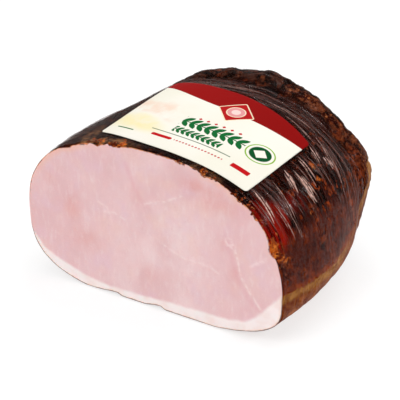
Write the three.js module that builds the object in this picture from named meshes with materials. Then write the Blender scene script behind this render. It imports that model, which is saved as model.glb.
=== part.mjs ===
// Half of a boneless smoked ham, cut straight across and sealed in tight clear film, with a label on top.
// Units are millimetres and +Z is up. X runs across the cut face, which looks along -Y, and the ham rests
// on its rind side. The sealed ham is one closed solid out to the film, and the label is a thin sheet on it.
import * as THREE from "three";

// Driving dimensions of the ham.
const CUT_REACH_RIGHT = 103.2; // widest point of the cut, right of the crown line
const CUT_REACH_LEFT = 94.2;
const CUT_HEIGHT = 109.8;
const CROWN_X = -5.6; // where the crown line stands across the cut
const DEPTH = 200; // from the cut face to the far end
const TIP_HEIGHT = 42; // height of the far end's middle
const CUT_RIM_RADIUS = 1.6; // the film rounds the edge of the cut
const PRESSED = 2.2; // how much of the belly is pressed flat by the ham's own weight

// The crown rises from the cut to the thick of the ham.
const RISE = { height: 18.8, middle: 0.7, spread: 0.452 };
const SWELL = 0.089; // sideways swelling halfway along, as a share of the width

// Height of the widest line, at the cut and at the far end.
const WIDEST_RIGHT = { cut: 27.6, end: 47.5 };
const WIDEST_LEFT = { cut: 47.7, end: 56.4 };

// Superellipse powers of the four quarters of a section: 2 is an ellipse, more is squarer.
const POWERS = { rightUp: 2.45, rightDown: 2.71, leftUp: 2.37, leftDown: 2.97 };

// How the ham closes towards its far end: (1 - t^late)^(1/blunt).
const CLOSING = {
  width: { late: 2.47, blunt: 2.02 },
  top: { late: 3.43, blunt: 2.54 },
  belly: { late: 4.6, blunt: 2.14 },
};

// A crease where the tied end muscle meets the body, with a shoulder behind it. It fades towards the belly.
const CREASE = { at: 0.563, width: 0.03, depth: 3.2 };
const SHOULDER = { at: 0.667, width: 0.07, height: 6 };
const CREASE_TURN = 21.2; // degrees by which the crease is turned down the right side

// Single muscles that bulge out of the body or sink into it.
const MUSCLES = [
  { height: 10.3, at: 0.672, length: 0.148, angle: 16.7, width: 16 },
  { height: 1.4, at: 0.63, length: 0.21, angle: -27, width: 34 },
  { height: 4.4, at: 0.676, length: 0.133, angle: 81.6, width: 13 },
  { height: -5.6, at: 0.44, length: 0.164, angle: 131.7, width: 14.3 },
  { height: -1.1, at: 0.866, length: 0.074, angle: 53.8, width: 19.6 },
];
const MUSCLES_START = 0.12; // the muscles fade out towards the cut from here

// Folds of crust and film that run round the ham, between the label and the crease.
const FOLD = { pitch: 10.5, height: 0.75, from: 14, to: 110, fade: 10 };
const FOLD_ARC = { middle: 62, spread: 62 }; // degrees round the section
// Low lumps of the smoked crust, as waves through space. They are higher on the far end.
const LUMPS = [
  { height: 0.26, length: 53, shift: 1.1 },
  { height: 0.24, length: 31, shift: 2.6 },
];
const LUMPS_AT_END = 2.4; // times as high there

// The label: its front edge lies near the cut and it wraps over the crown.
const LABEL = {
  width: 116, // along the hoop
  cream: 65.5, // depth of the pale field in the middle
  taper: -0.094, // the pale field is shallower at the right end, by this share
  dip: 5.2, // and deeper at both ends than in the middle, by this much
  bandEnds: 10.3, // depth of the coloured band at its ends
  bandMiddle: 22.9, // and in the middle, where its edge arches
  corner: 3,
  middleX: 10.7,
  frontY: 5.9,
  bow: 5.2, // the ends lie further back than the middle
  skew: -0.069, // the left end lies further back than the right
  lean: 0.033, // the far edge lies a little to the right
  flare: 0.03, // and is a little longer than the front edge
  gap: 0.32,
  thickness: 0.45,
};

// How finely the solids are faceted.
const AROUND = 72;
const CAP_RINGS = [0.35, 0.7];
const RIM_STEPS = 2;
const BODY_RINGS = 74;
const LABEL_STEPS = { across: 26, along: 16 };

const radians = THREE.MathUtils.degToRad;
const smooth = THREE.MathUtils.smoothstep;
const lerp = THREE.MathUtils.lerp;
const clamp = THREE.MathUtils.clamp;
const bell = (value, middle, spread) => Math.exp(-(((value - middle) / spread) ** 2));
const closing = (t, { late, blunt }) => Math.max(1 - t ** late, 0) ** (1 / blunt);
const signedPower = (value, power) => Math.sign(value) * Math.abs(value) ** (2 / power);
const angleBetween = (a, b) => Math.atan2(Math.sin(a - b), Math.cos(a - b));

// A point of the bare, smooth ham: t runs from the cut (0) to the far end (1), and angle round the section.
function bodyPoint(t, angle) {
  const right = Math.cos(angle) >= 0;
  const up = Math.sin(angle) >= 0;
  const reach = right ? CUT_REACH_RIGHT : CUT_REACH_LEFT;
  const halfWidth = reach * closing(t, CLOSING.width) * (1 + SWELL * Math.sin(Math.PI * t));
  const rise = RISE.height * (bell(t, RISE.middle, RISE.spread) - bell(0, RISE.middle, RISE.spread));
  const top = TIP_HEIGHT + (CUT_HEIGHT + rise - TIP_HEIGHT) * closing(t, CLOSING.top);
  const bottom = TIP_HEIGHT - (TIP_HEIGHT + PRESSED) * closing(t, CLOSING.belly);
  const widest = right ? WIDEST_RIGHT : WIDEST_LEFT;
  const room = 0.02 * (top - bottom);
  const middle = clamp(lerp(widest.cut, widest.end, t), bottom + room, top - room);
  const power = right
    ? up ? POWERS.rightUp : POWERS.rightDown
    : up ? POWERS.leftUp : POWERS.leftDown;
  return new THREE.Vector3(
    CROWN_X + halfWidth * signedPower(Math.cos(angle), power),
    t * DEPTH,
    middle + (up ? top - middle : middle - bottom) * signedPower(Math.sin(angle), power),
  );
}

// Height of the folds that run round the ham. Their line wanders, and they stop at the label's end.
function foldHeight(t, angle) {
  const y = t * DEPTH;
  const wander = 0.5 * Math.sin(2.3 * angle + 1) + 0.25 * Math.sin(5 * angle);
  const wave = Math.cos(2 * Math.PI * (y / FOLD.pitch + wander));
  const along = smooth(y, FOLD.from, FOLD.from + FOLD.fade) * (1 - smooth(y, FOLD.to - FOLD.fade, FOLD.to));
  const round = bell(angleBetween(angle, radians(FOLD_ARC.middle)), 0, radians(FOLD_ARC.spread));
  return FOLD.height * wave * along * round * (1 - underLabel(t, angle));
}

// 1 under the label, fading to 0 just outside it, by how far a point is from the label's middle.
function underLabel(t, angle) {
  const p = bodyPoint(t, angle);
  const reach = LABEL.width / 2 - 2;
  const depth = LABEL.cream + LABEL.bandMiddle;
  const aside = Math.abs(p.x - LABEL.middleX) / reach;
  const behind = Math.abs(p.y - LABEL.frontY - depth / 2) / (depth / 2 + 6);
  return Math.sin(angle) > 0 ? 1 - smooth(Math.max(aside, behind), 1, 1.15) : 0;
}

function lumpHeight(t, angle) {
  const p = bodyPoint(t, angle);
  const strength = 1 + (LUMPS_AT_END - 1) * smooth(t, 0.5, 0.75);
  const fade = smooth(t, 0, 0.06) * (1 - underLabel(t, angle));
  const sum = LUMPS.reduce((total, { height, length, shift }) => {
    const turns = (distance) => Math.sin((2 * Math.PI * distance) / length + shift);
    return total + height * (turns(p.x) * turns(p.y) + turns(p.y + p.z) * turns(p.z - p.x));
  }, 0);
  return strength * fade * sum;
}

// A point of the ham's surface, with the crease, muscles, folds and lumps, and pressed flat where it rests.
function hamPoint(t, angle) {
  const p = bodyPoint(t, angle);
  const c = Math.cos(angle);
  const s = Math.sin(angle);
  const facing = Math.max(Math.sin(angle + radians(CREASE_TURN)), 0);
  const shoulder = SHOULDER.height * bell(t, SHOULDER.at, SHOULDER.width);
  const crease = facing * (shoulder - CREASE.depth * bell(t, CREASE.at, CREASE.width));
  const bulge = MUSCLES.reduce((sum, m) => {
    const aside = angleBetween(angle, radians(m.angle));
    return sum + m.height * bell(t, m.at, m.length) * bell(aside, 0, radians(m.width));
  }, 0) * Math.min(t / MUSCLES_START, 1);
  const relief = foldHeight(t, angle) + lumpHeight(t, angle);
  p.x += (0.8 * crease + 0.9 * bulge + relief) * c;
  p.y += 0.9 * bulge * Math.max(t - 0.5, 0);
  p.z += crease * Math.max(s, 0) + (0.9 * bulge + relief) * s;
  p.z = Math.max(p.z, 0);
  return p;
}

// The ham's outward normal at a point, from its neighbours.
function hamNormal(t, angle) {
  const step = 0.004;
  const along = hamPoint(t + step, angle).sub(hamPoint(t - step, angle));
  const round = hamPoint(t, angle + step).sub(hamPoint(t, angle - step));
  return round.cross(along).normalize().negate();
}

// Joins rings of equal length into a closed skin, with one point at each end.
function closedSkin(rings, firstPoint, lastPoint) {
  const count = rings[0].length;
  const points = [firstPoint, ...rings.flat(), lastPoint];
  const at = (ring, k) => 1 + ring * count + (k % count);
  const faces = [];
  for (let k = 0; k < count; k++) {
    faces.push(0, at(0, k), at(0, k + 1));
    faces.push(points.length - 1, at(rings.length - 1, k + 1), at(rings.length - 1, k));
    for (let ring = 0; ring + 1 < rings.length; ring++) {
      faces.push(at(ring, k), at(ring + 1, k), at(ring + 1, k + 1));
      faces.push(at(ring, k), at(ring + 1, k + 1), at(ring, k + 1));
    }
  }
  return solid(points, faces);
}

function solid(points, faces) {
  const geometry = new THREE.BufferGeometry().setFromPoints(points);
  geometry.setIndex(faces);
  geometry.computeVertexNormals();
  return geometry;
}

// The sealed ham: the flat cut face, its rounded rim, the body and the closed far end.
function hamGeometry() {
  const angles = Array.from({ length: AROUND }, (_, k) => (2 * Math.PI * k) / AROUND);
  const cutMiddle = new THREE.Vector3(CROWN_X, 0, CUT_HEIGHT / 2);
  const ringAt = (t) => angles.map((a) => hamPoint(t, a));
  const rimT = CUT_RIM_RADIUS / DEPTH;
  const rim = ringAt(rimT);
  // A ring drawn in from the rim by a distance, at a depth behind the cut plane.
  const drawnIn = (distance, y) =>
    rim.map((p) => {
      const inward = cutMiddle.clone().sub(p).setY(0).normalize();
      return p.clone().addScaledVector(inward, distance).setY(y);
    });
  const rings = [];
  const capEdge = drawnIn(CUT_RIM_RADIUS, 0);
  for (const share of CAP_RINGS) rings.push(capEdge.map((p) => cutMiddle.clone().lerp(p, share)));
  for (let k = 0; k < RIM_STEPS; k++) {
    const turn = (k / RIM_STEPS) * (Math.PI / 2);
    rings.push(drawnIn(CUT_RIM_RADIUS * (1 - Math.sin(turn)), CUT_RIM_RADIUS * (1 - Math.cos(turn))));
  }
  for (let k = 0; k < BODY_RINGS; k++) {
    const share = k / BODY_RINGS;
    // The sine brings the rings closer together where the far end turns over.
    rings.push(ringAt(rimT + (1 - rimT) * (0.6 * share + 0.4 * Math.sin((share * Math.PI) / 2))));
  }
  return closedSkin(rings, cutMiddle, hamPoint(1, 0));
}

// The angle at which the hoop through depth t has a given arc length from the label's middle line.
function angleAlongHoop(t, distance) {
  const step = radians(0.4) * Math.sign(distance);
  let angle = Math.PI / 2;
  while (bodyPoint(t, angle).x < LABEL.middleX) angle -= radians(0.1);
  let last = hamPoint(t, angle);
  let left = Math.abs(distance);
  while (left > 0) {
    const next = hamPoint(t, angle - step);
    const length = next.distanceTo(last);
    if (length > left) return angle - (step * left) / length;
    angle -= step;
    left -= length;
    last = next;
  }
  return angle;
}

// A point of the label, lifted off the ham: across runs from -1 to 1 along the hoop, and along from the front
// edge (0) to the far edge (1).
function labelPoint(across, along, lift) {
  const band = lerp(LABEL.bandMiddle, LABEL.bandEnds, across ** 2);
  const wholeDepth = LABEL.cream * (1 + LABEL.taper * across) + LABEL.dip * across ** 2 + band;
  const depth = along * wholeDepth;
  const fromCorner = Math.max(LABEL.corner - Math.min(depth, wholeDepth - depth), 0);
  const cornerInset = LABEL.corner - Math.sqrt(LABEL.corner ** 2 - fromCorner ** 2);
  const aside = across * (LABEL.width / 2 - cornerInset);
  const y = LABEL.frontY + depth + LABEL.bow * across ** 2 + LABEL.skew * aside;
  const t = y / DEPTH;
  const angle = angleAlongHoop(t, aside + (LABEL.lean + LABEL.flare * across) * depth);
  return hamPoint(t, angle).addScaledVector(hamNormal(t, angle), lift);
}

// The label as a closed thin sheet: a grid on each side, joined round the edge.
function labelGeometry() {
  const { across, along } = LABEL_STEPS;
  const row = across + 1;
  const points = [];
  for (const lift of [LABEL.gap, LABEL.gap + LABEL.thickness])
    for (let j = 0; j <= along; j++)
      for (let i = 0; i <= across; i++) {
        // Ends of the grid are closer together, so that the corners come out round.
        const eased = 0.5 - 0.5 * Math.cos((Math.PI * j) / along);
        points.push(labelPoint((2 * i) / across - 1, 0.35 * (j / along) + 0.65 * eased, lift));
      }
  const side = row * (along + 1);
  const faces = [];
  const quad = (a, b, c, d) => faces.push(a, b, c, a, c, d);
  for (let j = 0; j < along; j++)
    for (let i = 0; i < across; i++) {
      const a = j * row + i;
      quad(a, a + row, a + row + 1, a + 1);
      quad(side + a, side + a + 1, side + a + row + 1, side + a + row);
    }
  const wall = (a, b) => quad(a, b, side + b, side + a);
  for (let i = 0; i < across; i++) {
    wall(i, i + 1);
    wall(along * row + i + 1, along * row + i);
  }
  for (let j = 0; j < along; j++) {
    wall((j + 1) * row, j * row);
    wall(j * row + across, (j + 1) * row + across);
  }
  return solid(points, faces);
}

const filmedCrust = new THREE.MeshStandardMaterial({ color: 0x4a2418, roughness: 0.25, metalness: 0 });
const labelPaper = new THREE.MeshStandardMaterial({ color: 0xfbf8ea, roughness: 0.5, metalness: 0 });

const ham = new THREE.Mesh(hamGeometry(), filmedCrust);
ham.name = "ham";
const label = new THREE.Mesh(labelGeometry(), labelPaper);
label.name = "label";

// The origin is under the middle of the ham, on the plane that it rests on.
const root = new THREE.Group();
root.add(ham, label);
const box = new THREE.Box3().setFromObject(ham);
root.position.set(-(box.min.x + box.max.x) / 2, -(box.min.y + box.max.y) / 2, -box.min.z);

export default root;
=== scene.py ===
# %% [markdown]
# # Half a smoked ham in clear film
# The object is half of a boneless smoked ham, cut straight across. The meat is pink, a band of white fat runs
# under it, the outside is a dark lacquered crust, and the whole is sealed in tight clear film with a label on
# top. The measured solids give the size and place of everything. This lesson rebuilds the same form finely,
# as meat, film, folds and label, each with its own finish.

import itertools
import math
from collections import namedtuple

import bpy
import numpy as np
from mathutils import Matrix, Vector


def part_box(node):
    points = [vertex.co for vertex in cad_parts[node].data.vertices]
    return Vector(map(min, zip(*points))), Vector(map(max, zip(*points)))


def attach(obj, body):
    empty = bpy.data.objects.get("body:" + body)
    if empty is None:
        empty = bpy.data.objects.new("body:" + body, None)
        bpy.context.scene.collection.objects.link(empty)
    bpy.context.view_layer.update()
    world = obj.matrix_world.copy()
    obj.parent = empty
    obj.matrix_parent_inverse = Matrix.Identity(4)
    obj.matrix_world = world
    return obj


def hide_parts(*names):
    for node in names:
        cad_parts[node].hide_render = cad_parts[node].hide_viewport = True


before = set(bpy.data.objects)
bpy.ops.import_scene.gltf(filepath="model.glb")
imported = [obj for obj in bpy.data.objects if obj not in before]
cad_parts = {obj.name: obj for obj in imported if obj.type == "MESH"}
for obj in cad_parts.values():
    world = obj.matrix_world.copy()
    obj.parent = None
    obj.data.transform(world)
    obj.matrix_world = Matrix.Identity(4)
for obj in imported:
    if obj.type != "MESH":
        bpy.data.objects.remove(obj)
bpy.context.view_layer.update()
ham_low, ham_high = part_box("ham")
MM = 0.001  # sizes below are in millimetres, and meshes are built in metres
print("ham solid, mm:", [round((b - a) / MM, 1) for a, b in zip(ham_low, ham_high)])


# %% [markdown]
# The ham's form follows a rule. A section across it is a rounded oval whose four quarters are squarer or
# rounder, and the oval closes towards the far end. A crease, a shoulder behind it and a few muscles are added
# along the way. Writing the form as a function of two numbers, t from the cut to the far end and the angle
# round the section, gives a surface as fine as needed, with places on it that have a name.

# %% Small helpers for shaping
def bell(value, middle, spread):
    return np.exp(-(((value - middle) / spread) ** 2))


def ease(value, low, high):
    """0 below low and 1 above high, with a smooth rise between them."""
    k = np.clip((value - low) / (high - low), 0, 1)
    return k * k * (3 - 2 * k)


def between(a, b):
    """The angle from b to a, the short way round."""
    return np.arctan2(np.sin(a - b), np.cos(a - b))


# %% The ham's own sizes
DEPTH = 200.0  # from the cut face to the far end
CUT_REACH = {"right": 103.2, "left": 94.2}  # from the crown line to the cut's widest points
CUT_HEIGHT = 109.8
CROWN_X = -5.6  # where the crown line stands across the cut
TIP_HEIGHT = 42.0  # height of the far end's middle
PRESSED = 2.2  # how much of the belly is pressed flat by the ham's own weight
RIM_RADIUS = 1.6  # the film rounds the edge of the cut
RISE = {"height": 18.8, "middle": 0.7, "spread": 0.452}  # the crown is highest behind the label
SWELL = 0.089  # sideways swelling halfway along, as a share of the width
WIDEST = {"right": (27.6, 47.5), "left": (47.7, 56.4)}  # height of the widest point, at the cut and the end
# How square each quarter of the section is, and how late and how bluntly the ham closes towards its end.
POWERS = {"right up": 2.45, "right down": 2.71, "left up": 2.37, "left down": 2.97}
CLOSING = {"side": (2.47, 2.02), "top": (3.43, 2.54), "bottom": (4.6, 2.14)}
CREASE = {"at": 0.563, "width": 0.03, "depth": 3.2}
SHOULDER = {"at": 0.667, "width": 0.07, "height": 6.0}
CREASE_TURN = math.radians(21.2)  # the crease is turned down the right side by this much
MUSCLES_FROM = 0.12  # the muscles fade out towards the cut from here
# Each muscle: height, where along the ham, its length there, angle round the section, its width there.
MUSCLES = [
    (10.3, 0.672, 0.148, 16.7, 16.0),
    (1.4, 0.63, 0.21, -27.0, 34.0),
    (4.4, 0.676, 0.133, 81.6, 13.0),
    (-5.6, 0.44, 0.164, 131.7, 14.3),
    (-1.1, 0.866, 0.074, 53.8, 19.6),
]


# %% The ham's surface as a function
def closing(t, side):
    late, blunt = CLOSING[side]
    return np.clip(1 - np.clip(t, 0, 1) ** late, 0, 1) ** (1 / blunt)


def section_power(value, power):
    return np.sign(value) * np.abs(value) ** (2 / power)


def ham_form(t, angle):
    """Points of the ham's outside, in millimetres from the middle of the cut's foot."""
    t, angle = np.broadcast_arrays(np.asarray(t, float), np.asarray(angle, float))
    c, s = np.cos(angle), np.sin(angle)
    right, up = c >= 0, s >= 0
    reach = np.where(right, CUT_REACH["right"], CUT_REACH["left"])
    half_width = reach * closing(t, "side") * (1 + SWELL * np.sin(np.pi * t))
    rise = bell(t, RISE["middle"], RISE["spread"]) - bell(0, RISE["middle"], RISE["spread"])
    top = TIP_HEIGHT + (CUT_HEIGHT + RISE["height"] * rise - TIP_HEIGHT) * closing(t, "top")
    bottom = TIP_HEIGHT - (TIP_HEIGHT + PRESSED) * closing(t, "bottom")
    at_cut, at_end = (np.where(right, *pair) for pair in zip(WIDEST["right"], WIDEST["left"]))
    widest = at_cut + (at_end - at_cut) * t
    room = 0.02 * (top - bottom)
    widest = np.clip(widest, bottom + room, top - room)
    right_power = np.where(up, POWERS["right up"], POWERS["right down"])
    power = np.where(right, right_power, np.where(up, POWERS["left up"], POWERS["left down"]))
    x = CROWN_X + half_width * section_power(c, power)
    z = widest + np.where(up, top - widest, widest - bottom) * section_power(s, power)
    facing = np.clip(np.sin(angle + CREASE_TURN), 0, None)
    crease = facing * (
        SHOULDER["height"] * bell(t, SHOULDER["at"], SHOULDER["width"])
        - CREASE["depth"] * bell(t, CREASE["at"], CREASE["width"])
    )
    bulge = sum(
        height * bell(t, at, length) * bell(between(angle, math.radians(turn)), 0, math.radians(width))
        for height, at, length, turn, width in MUSCLES
    ) * np.clip(t / MUSCLES_FROM, 0, 1)
    x = x + (0.8 * crease + 0.9 * bulge) * c
    y = t * DEPTH + 0.9 * bulge * np.clip(t - 0.5, 0, None)
    z = z + crease * np.clip(s, 0, None) + 0.9 * bulge * s
    return np.stack([x, y, np.clip(z, 0, None)], -1)


probe = ham_form(*np.meshgrid(np.linspace(0, 1, 300), np.linspace(0, 2 * np.pi, 400), indexing="ij"))
probe = probe.reshape(-1, 3)
# The solids stand with their middle over the origin, so the form moves by as much.
TO_FRAME = np.zeros(3)
for axis in (0, 1):
    form_middle = (probe[:, axis].min() + probe[:, axis].max()) / 2
    TO_FRAME[axis] = (ham_low[axis] + ham_high[axis]) / 2 / MM - form_middle
print("form's own size, mm:", np.round(np.ptp(probe, axis=0), 1), "moved by", np.round(TO_FRAME, 2))


# %% [markdown]
# Details are easier to place with a tape measure than with an angle. The tape here is laid round one hoop of
# the ham, a third of the way in: it reads 0 on the crown, and counts millimetres down the right side as
# positive and down the left side as negative.

# %% A tape round the ham
TAPE_AT = 0.3
tape_angles = np.linspace(np.pi / 2 - 2 * np.pi, np.pi / 2, 2881)
tape_points = ham_form(TAPE_AT, tape_angles)
tape_steps = np.linalg.norm(np.diff(tape_points, axis=0), axis=1)
tape_mm = np.concatenate([[0], np.cumsum(tape_steps)])
GIRTH = tape_mm[-1]


def angle_at(tape):
    """The angle round the section at a reading of the tape."""
    return np.interp(-np.asarray(tape, float) % GIRTH, tape_mm, tape_angles)


def tape_at(angle):
    """The tape's reading at an angle, from minus half the girth to plus half of it."""
    wrapped = (np.asarray(angle, float) - np.pi / 2) % (2 * np.pi) + np.pi / 2 - 2 * np.pi
    reading = -np.interp(wrapped, tape_angles, tape_mm)
    return (reading + GIRTH / 2) % GIRTH - GIRTH / 2


print("girth, mm:", round(GIRTH, 1))


# %% Outward direction on the form
def ham_normal(t, angle):
    step = 0.003
    along = ham_form(np.clip(t + step, 0, 1), angle) - ham_form(np.clip(t - step, 0, 1), angle)
    round_ = ham_form(t, angle + step) - ham_form(t, angle - step)
    normal = np.cross(along, round_)
    length = np.linalg.norm(normal, axis=-1, keepdims=True)
    return np.where(length > 1e-9, normal / np.maximum(length, 1e-9), [0, 1, 0])


check_t, check_angle = np.array([0.3]), np.array([0.0])
print("outward on the right side:", np.round(ham_normal(check_t, check_angle), 2))


# %% [markdown]
# Meat and crust are uneven at every scale. A soft random field in space gives unevenness without a seam: a
# fixed grid of random numbers, blended smoothly between its points. The same seed gives the same ham.

# %% Soft unevenness in space
LATTICE_SIDE = 32
LATTICE = np.random.default_rng(11).random((LATTICE_SIDE,) * 3) * 2 - 1
SEED_SHIFT = np.array([5.3, 9.1, 2.7])  # another seed reads the lattice from another place


def uneven(points, size, seed=0):
    """A soft random value from -1 to 1 at each point, with blobs about as wide as size."""
    place = points / size + SEED_SHIFT * (seed + 1)
    cell = np.floor(place).astype(int)
    part = place - cell
    part = part * part * (3 - 2 * part)
    total = np.zeros(points.shape[:-1])
    for corner in itertools.product((0, 1), repeat=3):
        weight = np.prod(np.where(corner, part, 1 - part), axis=-1)
        index = (cell + corner) % LATTICE_SIDE
        total += weight * LATTICE[index[..., 0], index[..., 1], index[..., 2]]
    return total


# %% [markdown]
# Film that is shrunk on a ham pulls into long tight folds. They run round the ham, side by side, a few
# millimetres apart, and each rises and fades over some centimetres. Each fold here is one line of numbers:
# where it lies, how long and wide it is, and how it leans. A seeded draw gives every side its share.

# %% The film's folds
fold_draw = np.random.default_rng(5)
# Each zone: how many, y from and to, tape from and to, half length from and to, height from and to, lean.
FOLD_ZONES = [
    (40, (4, 90), (74, 104), (10, 26), (0.35, 1.0), 0.1),
    (52, (86, 116), (-62, 128), (22, 56), (0.3, 0.85), 0.06),
    (44, (6, 112), (-150, -66), (14, 40), (0.25, 0.7), 0.1),
    (50, (118, 182), (-150, 150), (10, 30), (0.15, 0.45), 0.5),
    (14, (10, 110), (150, 215), (10, 26), (0.15, 0.35), 0.15),
]


# The folds that shine brightest: y and tape at each end, then width, height and a paleness that paints a
# highlight.
BRIGHT_FOLDS = [
    (45.5, 77.5, 40.2, 99.0, 1.5, 1.1, 1.0),
    (43.5, 80.0, 38.0, 93.0, 0.9, 0.6, 0.5),
    (50.8, 80.5, 49.2, 111.0, 1.7, 1.2, 1.0),
    (48.2, 92.0, 52.4, 111.5, 1.0, 0.7, 0.8),
    (53.6, 88.0, 54.6, 108.0, 0.9, 0.6, 0.6),
    (63.8, 77.5, 61.8, 101.0, 1.3, 0.9, 0.8),
    (60.5, 84.0, 58.5, 104.0, 0.9, 0.6, 0.45),
    (80.0, 79.0, 75.8, 95.0, 1.2, 0.8, 0.7),
    (85.6, 92.0, 84.8, 104.0, 1.3, 0.9, 0.8),
    (31.0, 76.5, 26.0, 112.0, 1.0, 0.7, 0.45),
    (12.8, 76.0, 8.2, 106.0, 1.3, 0.9, 1.0),
    (17.6, 90.0, 19.8, 122.0, 1.1, 0.7, 0.5),
    (24.0, 96.0, 25.5, 124.0, 1.2, 0.7, 0.3),
    (93.4, 76.0, 85.0, 104.0, 1.1, 0.8, 0.4),
    (93.2, 48.0, 84.8, 88.0, 1.0, 0.7, 0.35),
    (92.4, 82.0, 84.0, 126.0, 1.1, 0.7, 0.4),
    (97.5, 30.0, 96.0, 84.0, 1.2, 0.8, 0.35),
    (103.0, -20.0, 104.0, 40.0, 1.2, 0.8, 0.3),
]


Fold = namedtuple("Fold", "y tape half width height lean bow pale")


def bright_fold(y0, tape0, y1, tape1, width, height, pale):
    half, lean = (tape1 - tape0) / 2, (y1 - y0) / (tape1 - tape0)
    return Fold((y0 + y1) / 2, (tape0 + tape1) / 2, half, width, height, lean, 0.8, pale)


def thin_twin(fold):
    """A thinner fold beside a bright one."""
    return Fold(
        y=fold.y + fold_draw.uniform(1.2, 2.2) * fold_draw.choice([-1, 1]),
        tape=fold.tape + fold_draw.uniform(-5, 5),
        half=fold.half * fold_draw.uniform(0.45, 0.8),
        lean=fold.lean + fold_draw.normal(0, 0.03),
        width=0.7 * fold.width,
        height=0.75 * fold.height,
        bow=fold.bow,
        pale=0.8 * fold.pale,
    )


def draw_folds():
    bright = [bright_fold(*line) for line in BRIGHT_FOLDS]
    twins = [thin_twin(fold) for fold in bright for _ in range(2 if fold.pale > 0.55 else 1)]
    folds = bright + twins
    for count, ys, tapes, halves, heights, lean in FOLD_ZONES:
        for k in range(count):
            fold = Fold(
                y=ys[0] + (ys[1] - ys[0]) * (k + fold_draw.uniform(0.1, 0.9)) / count,
                tape=fold_draw.uniform(*tapes),
                half=fold_draw.uniform(*halves),
                width=fold_draw.uniform(0.8, 1.7),
                height=fold_draw.uniform(*heights),
                lean=fold_draw.normal(0, lean),
                bow=fold_draw.normal(0, 2.2),
                pale=0.0,
            )
            folds.append(fold)
    return folds


folds = draw_folds()
print("folds drawn:", len(folds))


def fold_line(fold, k):
    """Y and tape reading along a fold, for k from -1 at one end to 1 at the other."""
    y = fold.y + fold.lean * k * fold.half + fold.bow * k * k
    return y, fold.tape + k * fold.half


def drawn_folds(y, tape):
    """How far the drawn folds stand up at each place, in millimetres."""
    height = np.zeros_like(y)
    for fold in folds:
        k = (tape - fold.tape) / fold.half
        near = np.abs(k) < 1
        line = fold.y + fold.lean * k[near] * fold.half + fold.bow * k[near] ** 2
        across = np.abs(y[near] - line) / fold.width
        ridge = fold.height * np.exp(-(across**1.4)) * (1 - k[near] ** 2) ** 1.3
        height[near] = np.maximum(height[near], ridge)
    return height


# %% [markdown]
# Between the drawn folds the film is full of finer creases, which branch and run together. Where a soft
# random field crosses zero it leaves thin winding lines, and a field that is drawn out along the tape leaves
# them running round the ham. They are strong on the flanks and behind the label, and fade out low on the
# right side, where the film lies smooth on the meat.

# %% The film's fine creases
def stretched(y, tape, wide, long, seed):
    """A soft random field with blobs that are wide in y and long along the tape."""
    place = np.stack([y / wide, tape / long, np.full_like(y, seed * 3.7)], -1)
    return uneven(place * 10, 10, seed)


def crease_strength(y, tape):
    foot = 114 + 34 * ease(y, 78, 98) + 26 * stretched(y, tape, 11, 240, 8)
    right = ease(tape, 56, 70) * (1 - ease(tape, foot - 14, foot + 14))
    behind = ease(y, 84, 90)
    left = ease(-tape, 52, 66) * (1 - 0.5 * ease(-tape, 120, 160))
    over = np.maximum(np.maximum(right, 0.8 * left), behind * (1 - ease(tape, foot, foot + 16)))
    return over * (1 - 0.55 * ease(y, 110, 136)) + 0.12


def fine_creases(y, tape):
    wander = 1.6 * stretched(y, tape, 16, 34, 2)
    thin = (1 - np.abs(stretched(y + wander, tape, 5.6, 60, 3))) ** 5
    thinner = (1 - np.abs(stretched(y + wander, tape, 3.3, 34, 4))) ** 5
    return 0.42 * thin + 0.26 * thinner


def fold_height(y, tape):
    """How far the film stands up at each place, in millimetres."""
    return np.maximum(drawn_folds(y, tape), crease_strength(y, tape) * fine_creases(y, tape))


# %% [markdown]
# The label lies on the film over the crown. It is a flat sheet, so it is measured the way a sheet is: how
# far to the side of its middle, along the hoop, and how far back from its front edge. The film is smooth
# under it.

# %% Where the label lies
LABEL = {
    "width": 116.0,
    "cream": 65.5,
    "taper": -0.094,
    "dip": 5.2,
    "band ends": 10.3,
    "band middle": 22.9,
    "corner": 3.0,
    "middle x": 10.7,
    "front y": 5.9,
    "bow": 5.2,
    "skew": -0.069,
    "lean": 0.033,
    "flare": 0.03,
}
LABEL_GAP = 0.35
LABEL_THICKNESS = 0.3


def cream_depth(across):
    return LABEL["cream"] * (1 + LABEL["taper"] * across) + LABEL["dip"] * across**2


def label_depth(across):
    middle, ends = LABEL["band middle"], LABEL["band ends"]
    return cream_depth(across) + middle + (ends - middle) * across**2


def label_front(across):
    return LABEL["front y"] + LABEL["bow"] * across**2 + LABEL["skew"] * across * LABEL["width"] / 2


def label_spread(across, depth):
    """How much further along the hoop a line of the label gets towards its far edge."""
    return (LABEL["lean"] + LABEL["flare"] * across) * depth


def hoop_angle(y, distance):
    """The angle on the hoop at y that lies a distance along it from the label's middle line."""
    angles = np.linspace(np.radians(190), np.radians(-10), 900)
    hoop = ham_form(y / DEPTH, angles)
    mm = np.concatenate([[0], np.cumsum(np.linalg.norm(np.diff(hoop, axis=0), axis=1))])
    zero = np.interp(LABEL["middle x"], hoop[:, 0], mm)
    return np.interp(zero + distance, mm, angles)


label_ys = np.linspace(0, 116, 59)
label_sides = {
    side: [
        float(tape_at(hoop_angle(y, side * LABEL["width"] / 2 + label_spread(side, y - label_front(side)))))
        for y in label_ys
    ]
    for side in (-1, 1)
}


def outside_label(y, tape):
    """Millimetres from the label's edge, negative under the label."""
    left, right = (np.interp(y, label_ys, label_sides[side]) for side in (-1, 1))
    across = np.clip(2 * (tape - left) / (right - left) - 1, -1, 1)
    front = label_front(across)
    sideways = np.maximum(tape - right, left - tape)
    return np.maximum(sideways, np.maximum(front - y, y - front - label_depth(across)))


print("label's right edge on the tape, mm:", round(label_sides[1][20], 1))


# %% [markdown]
# The film follows the ham and adds its folds. The crust lies just inside it and goes its own way: it is
# pitted and lumpy, most of all on the far end, and it is torn at a few places of the cut's edge, where the
# film runs straight across.

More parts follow.
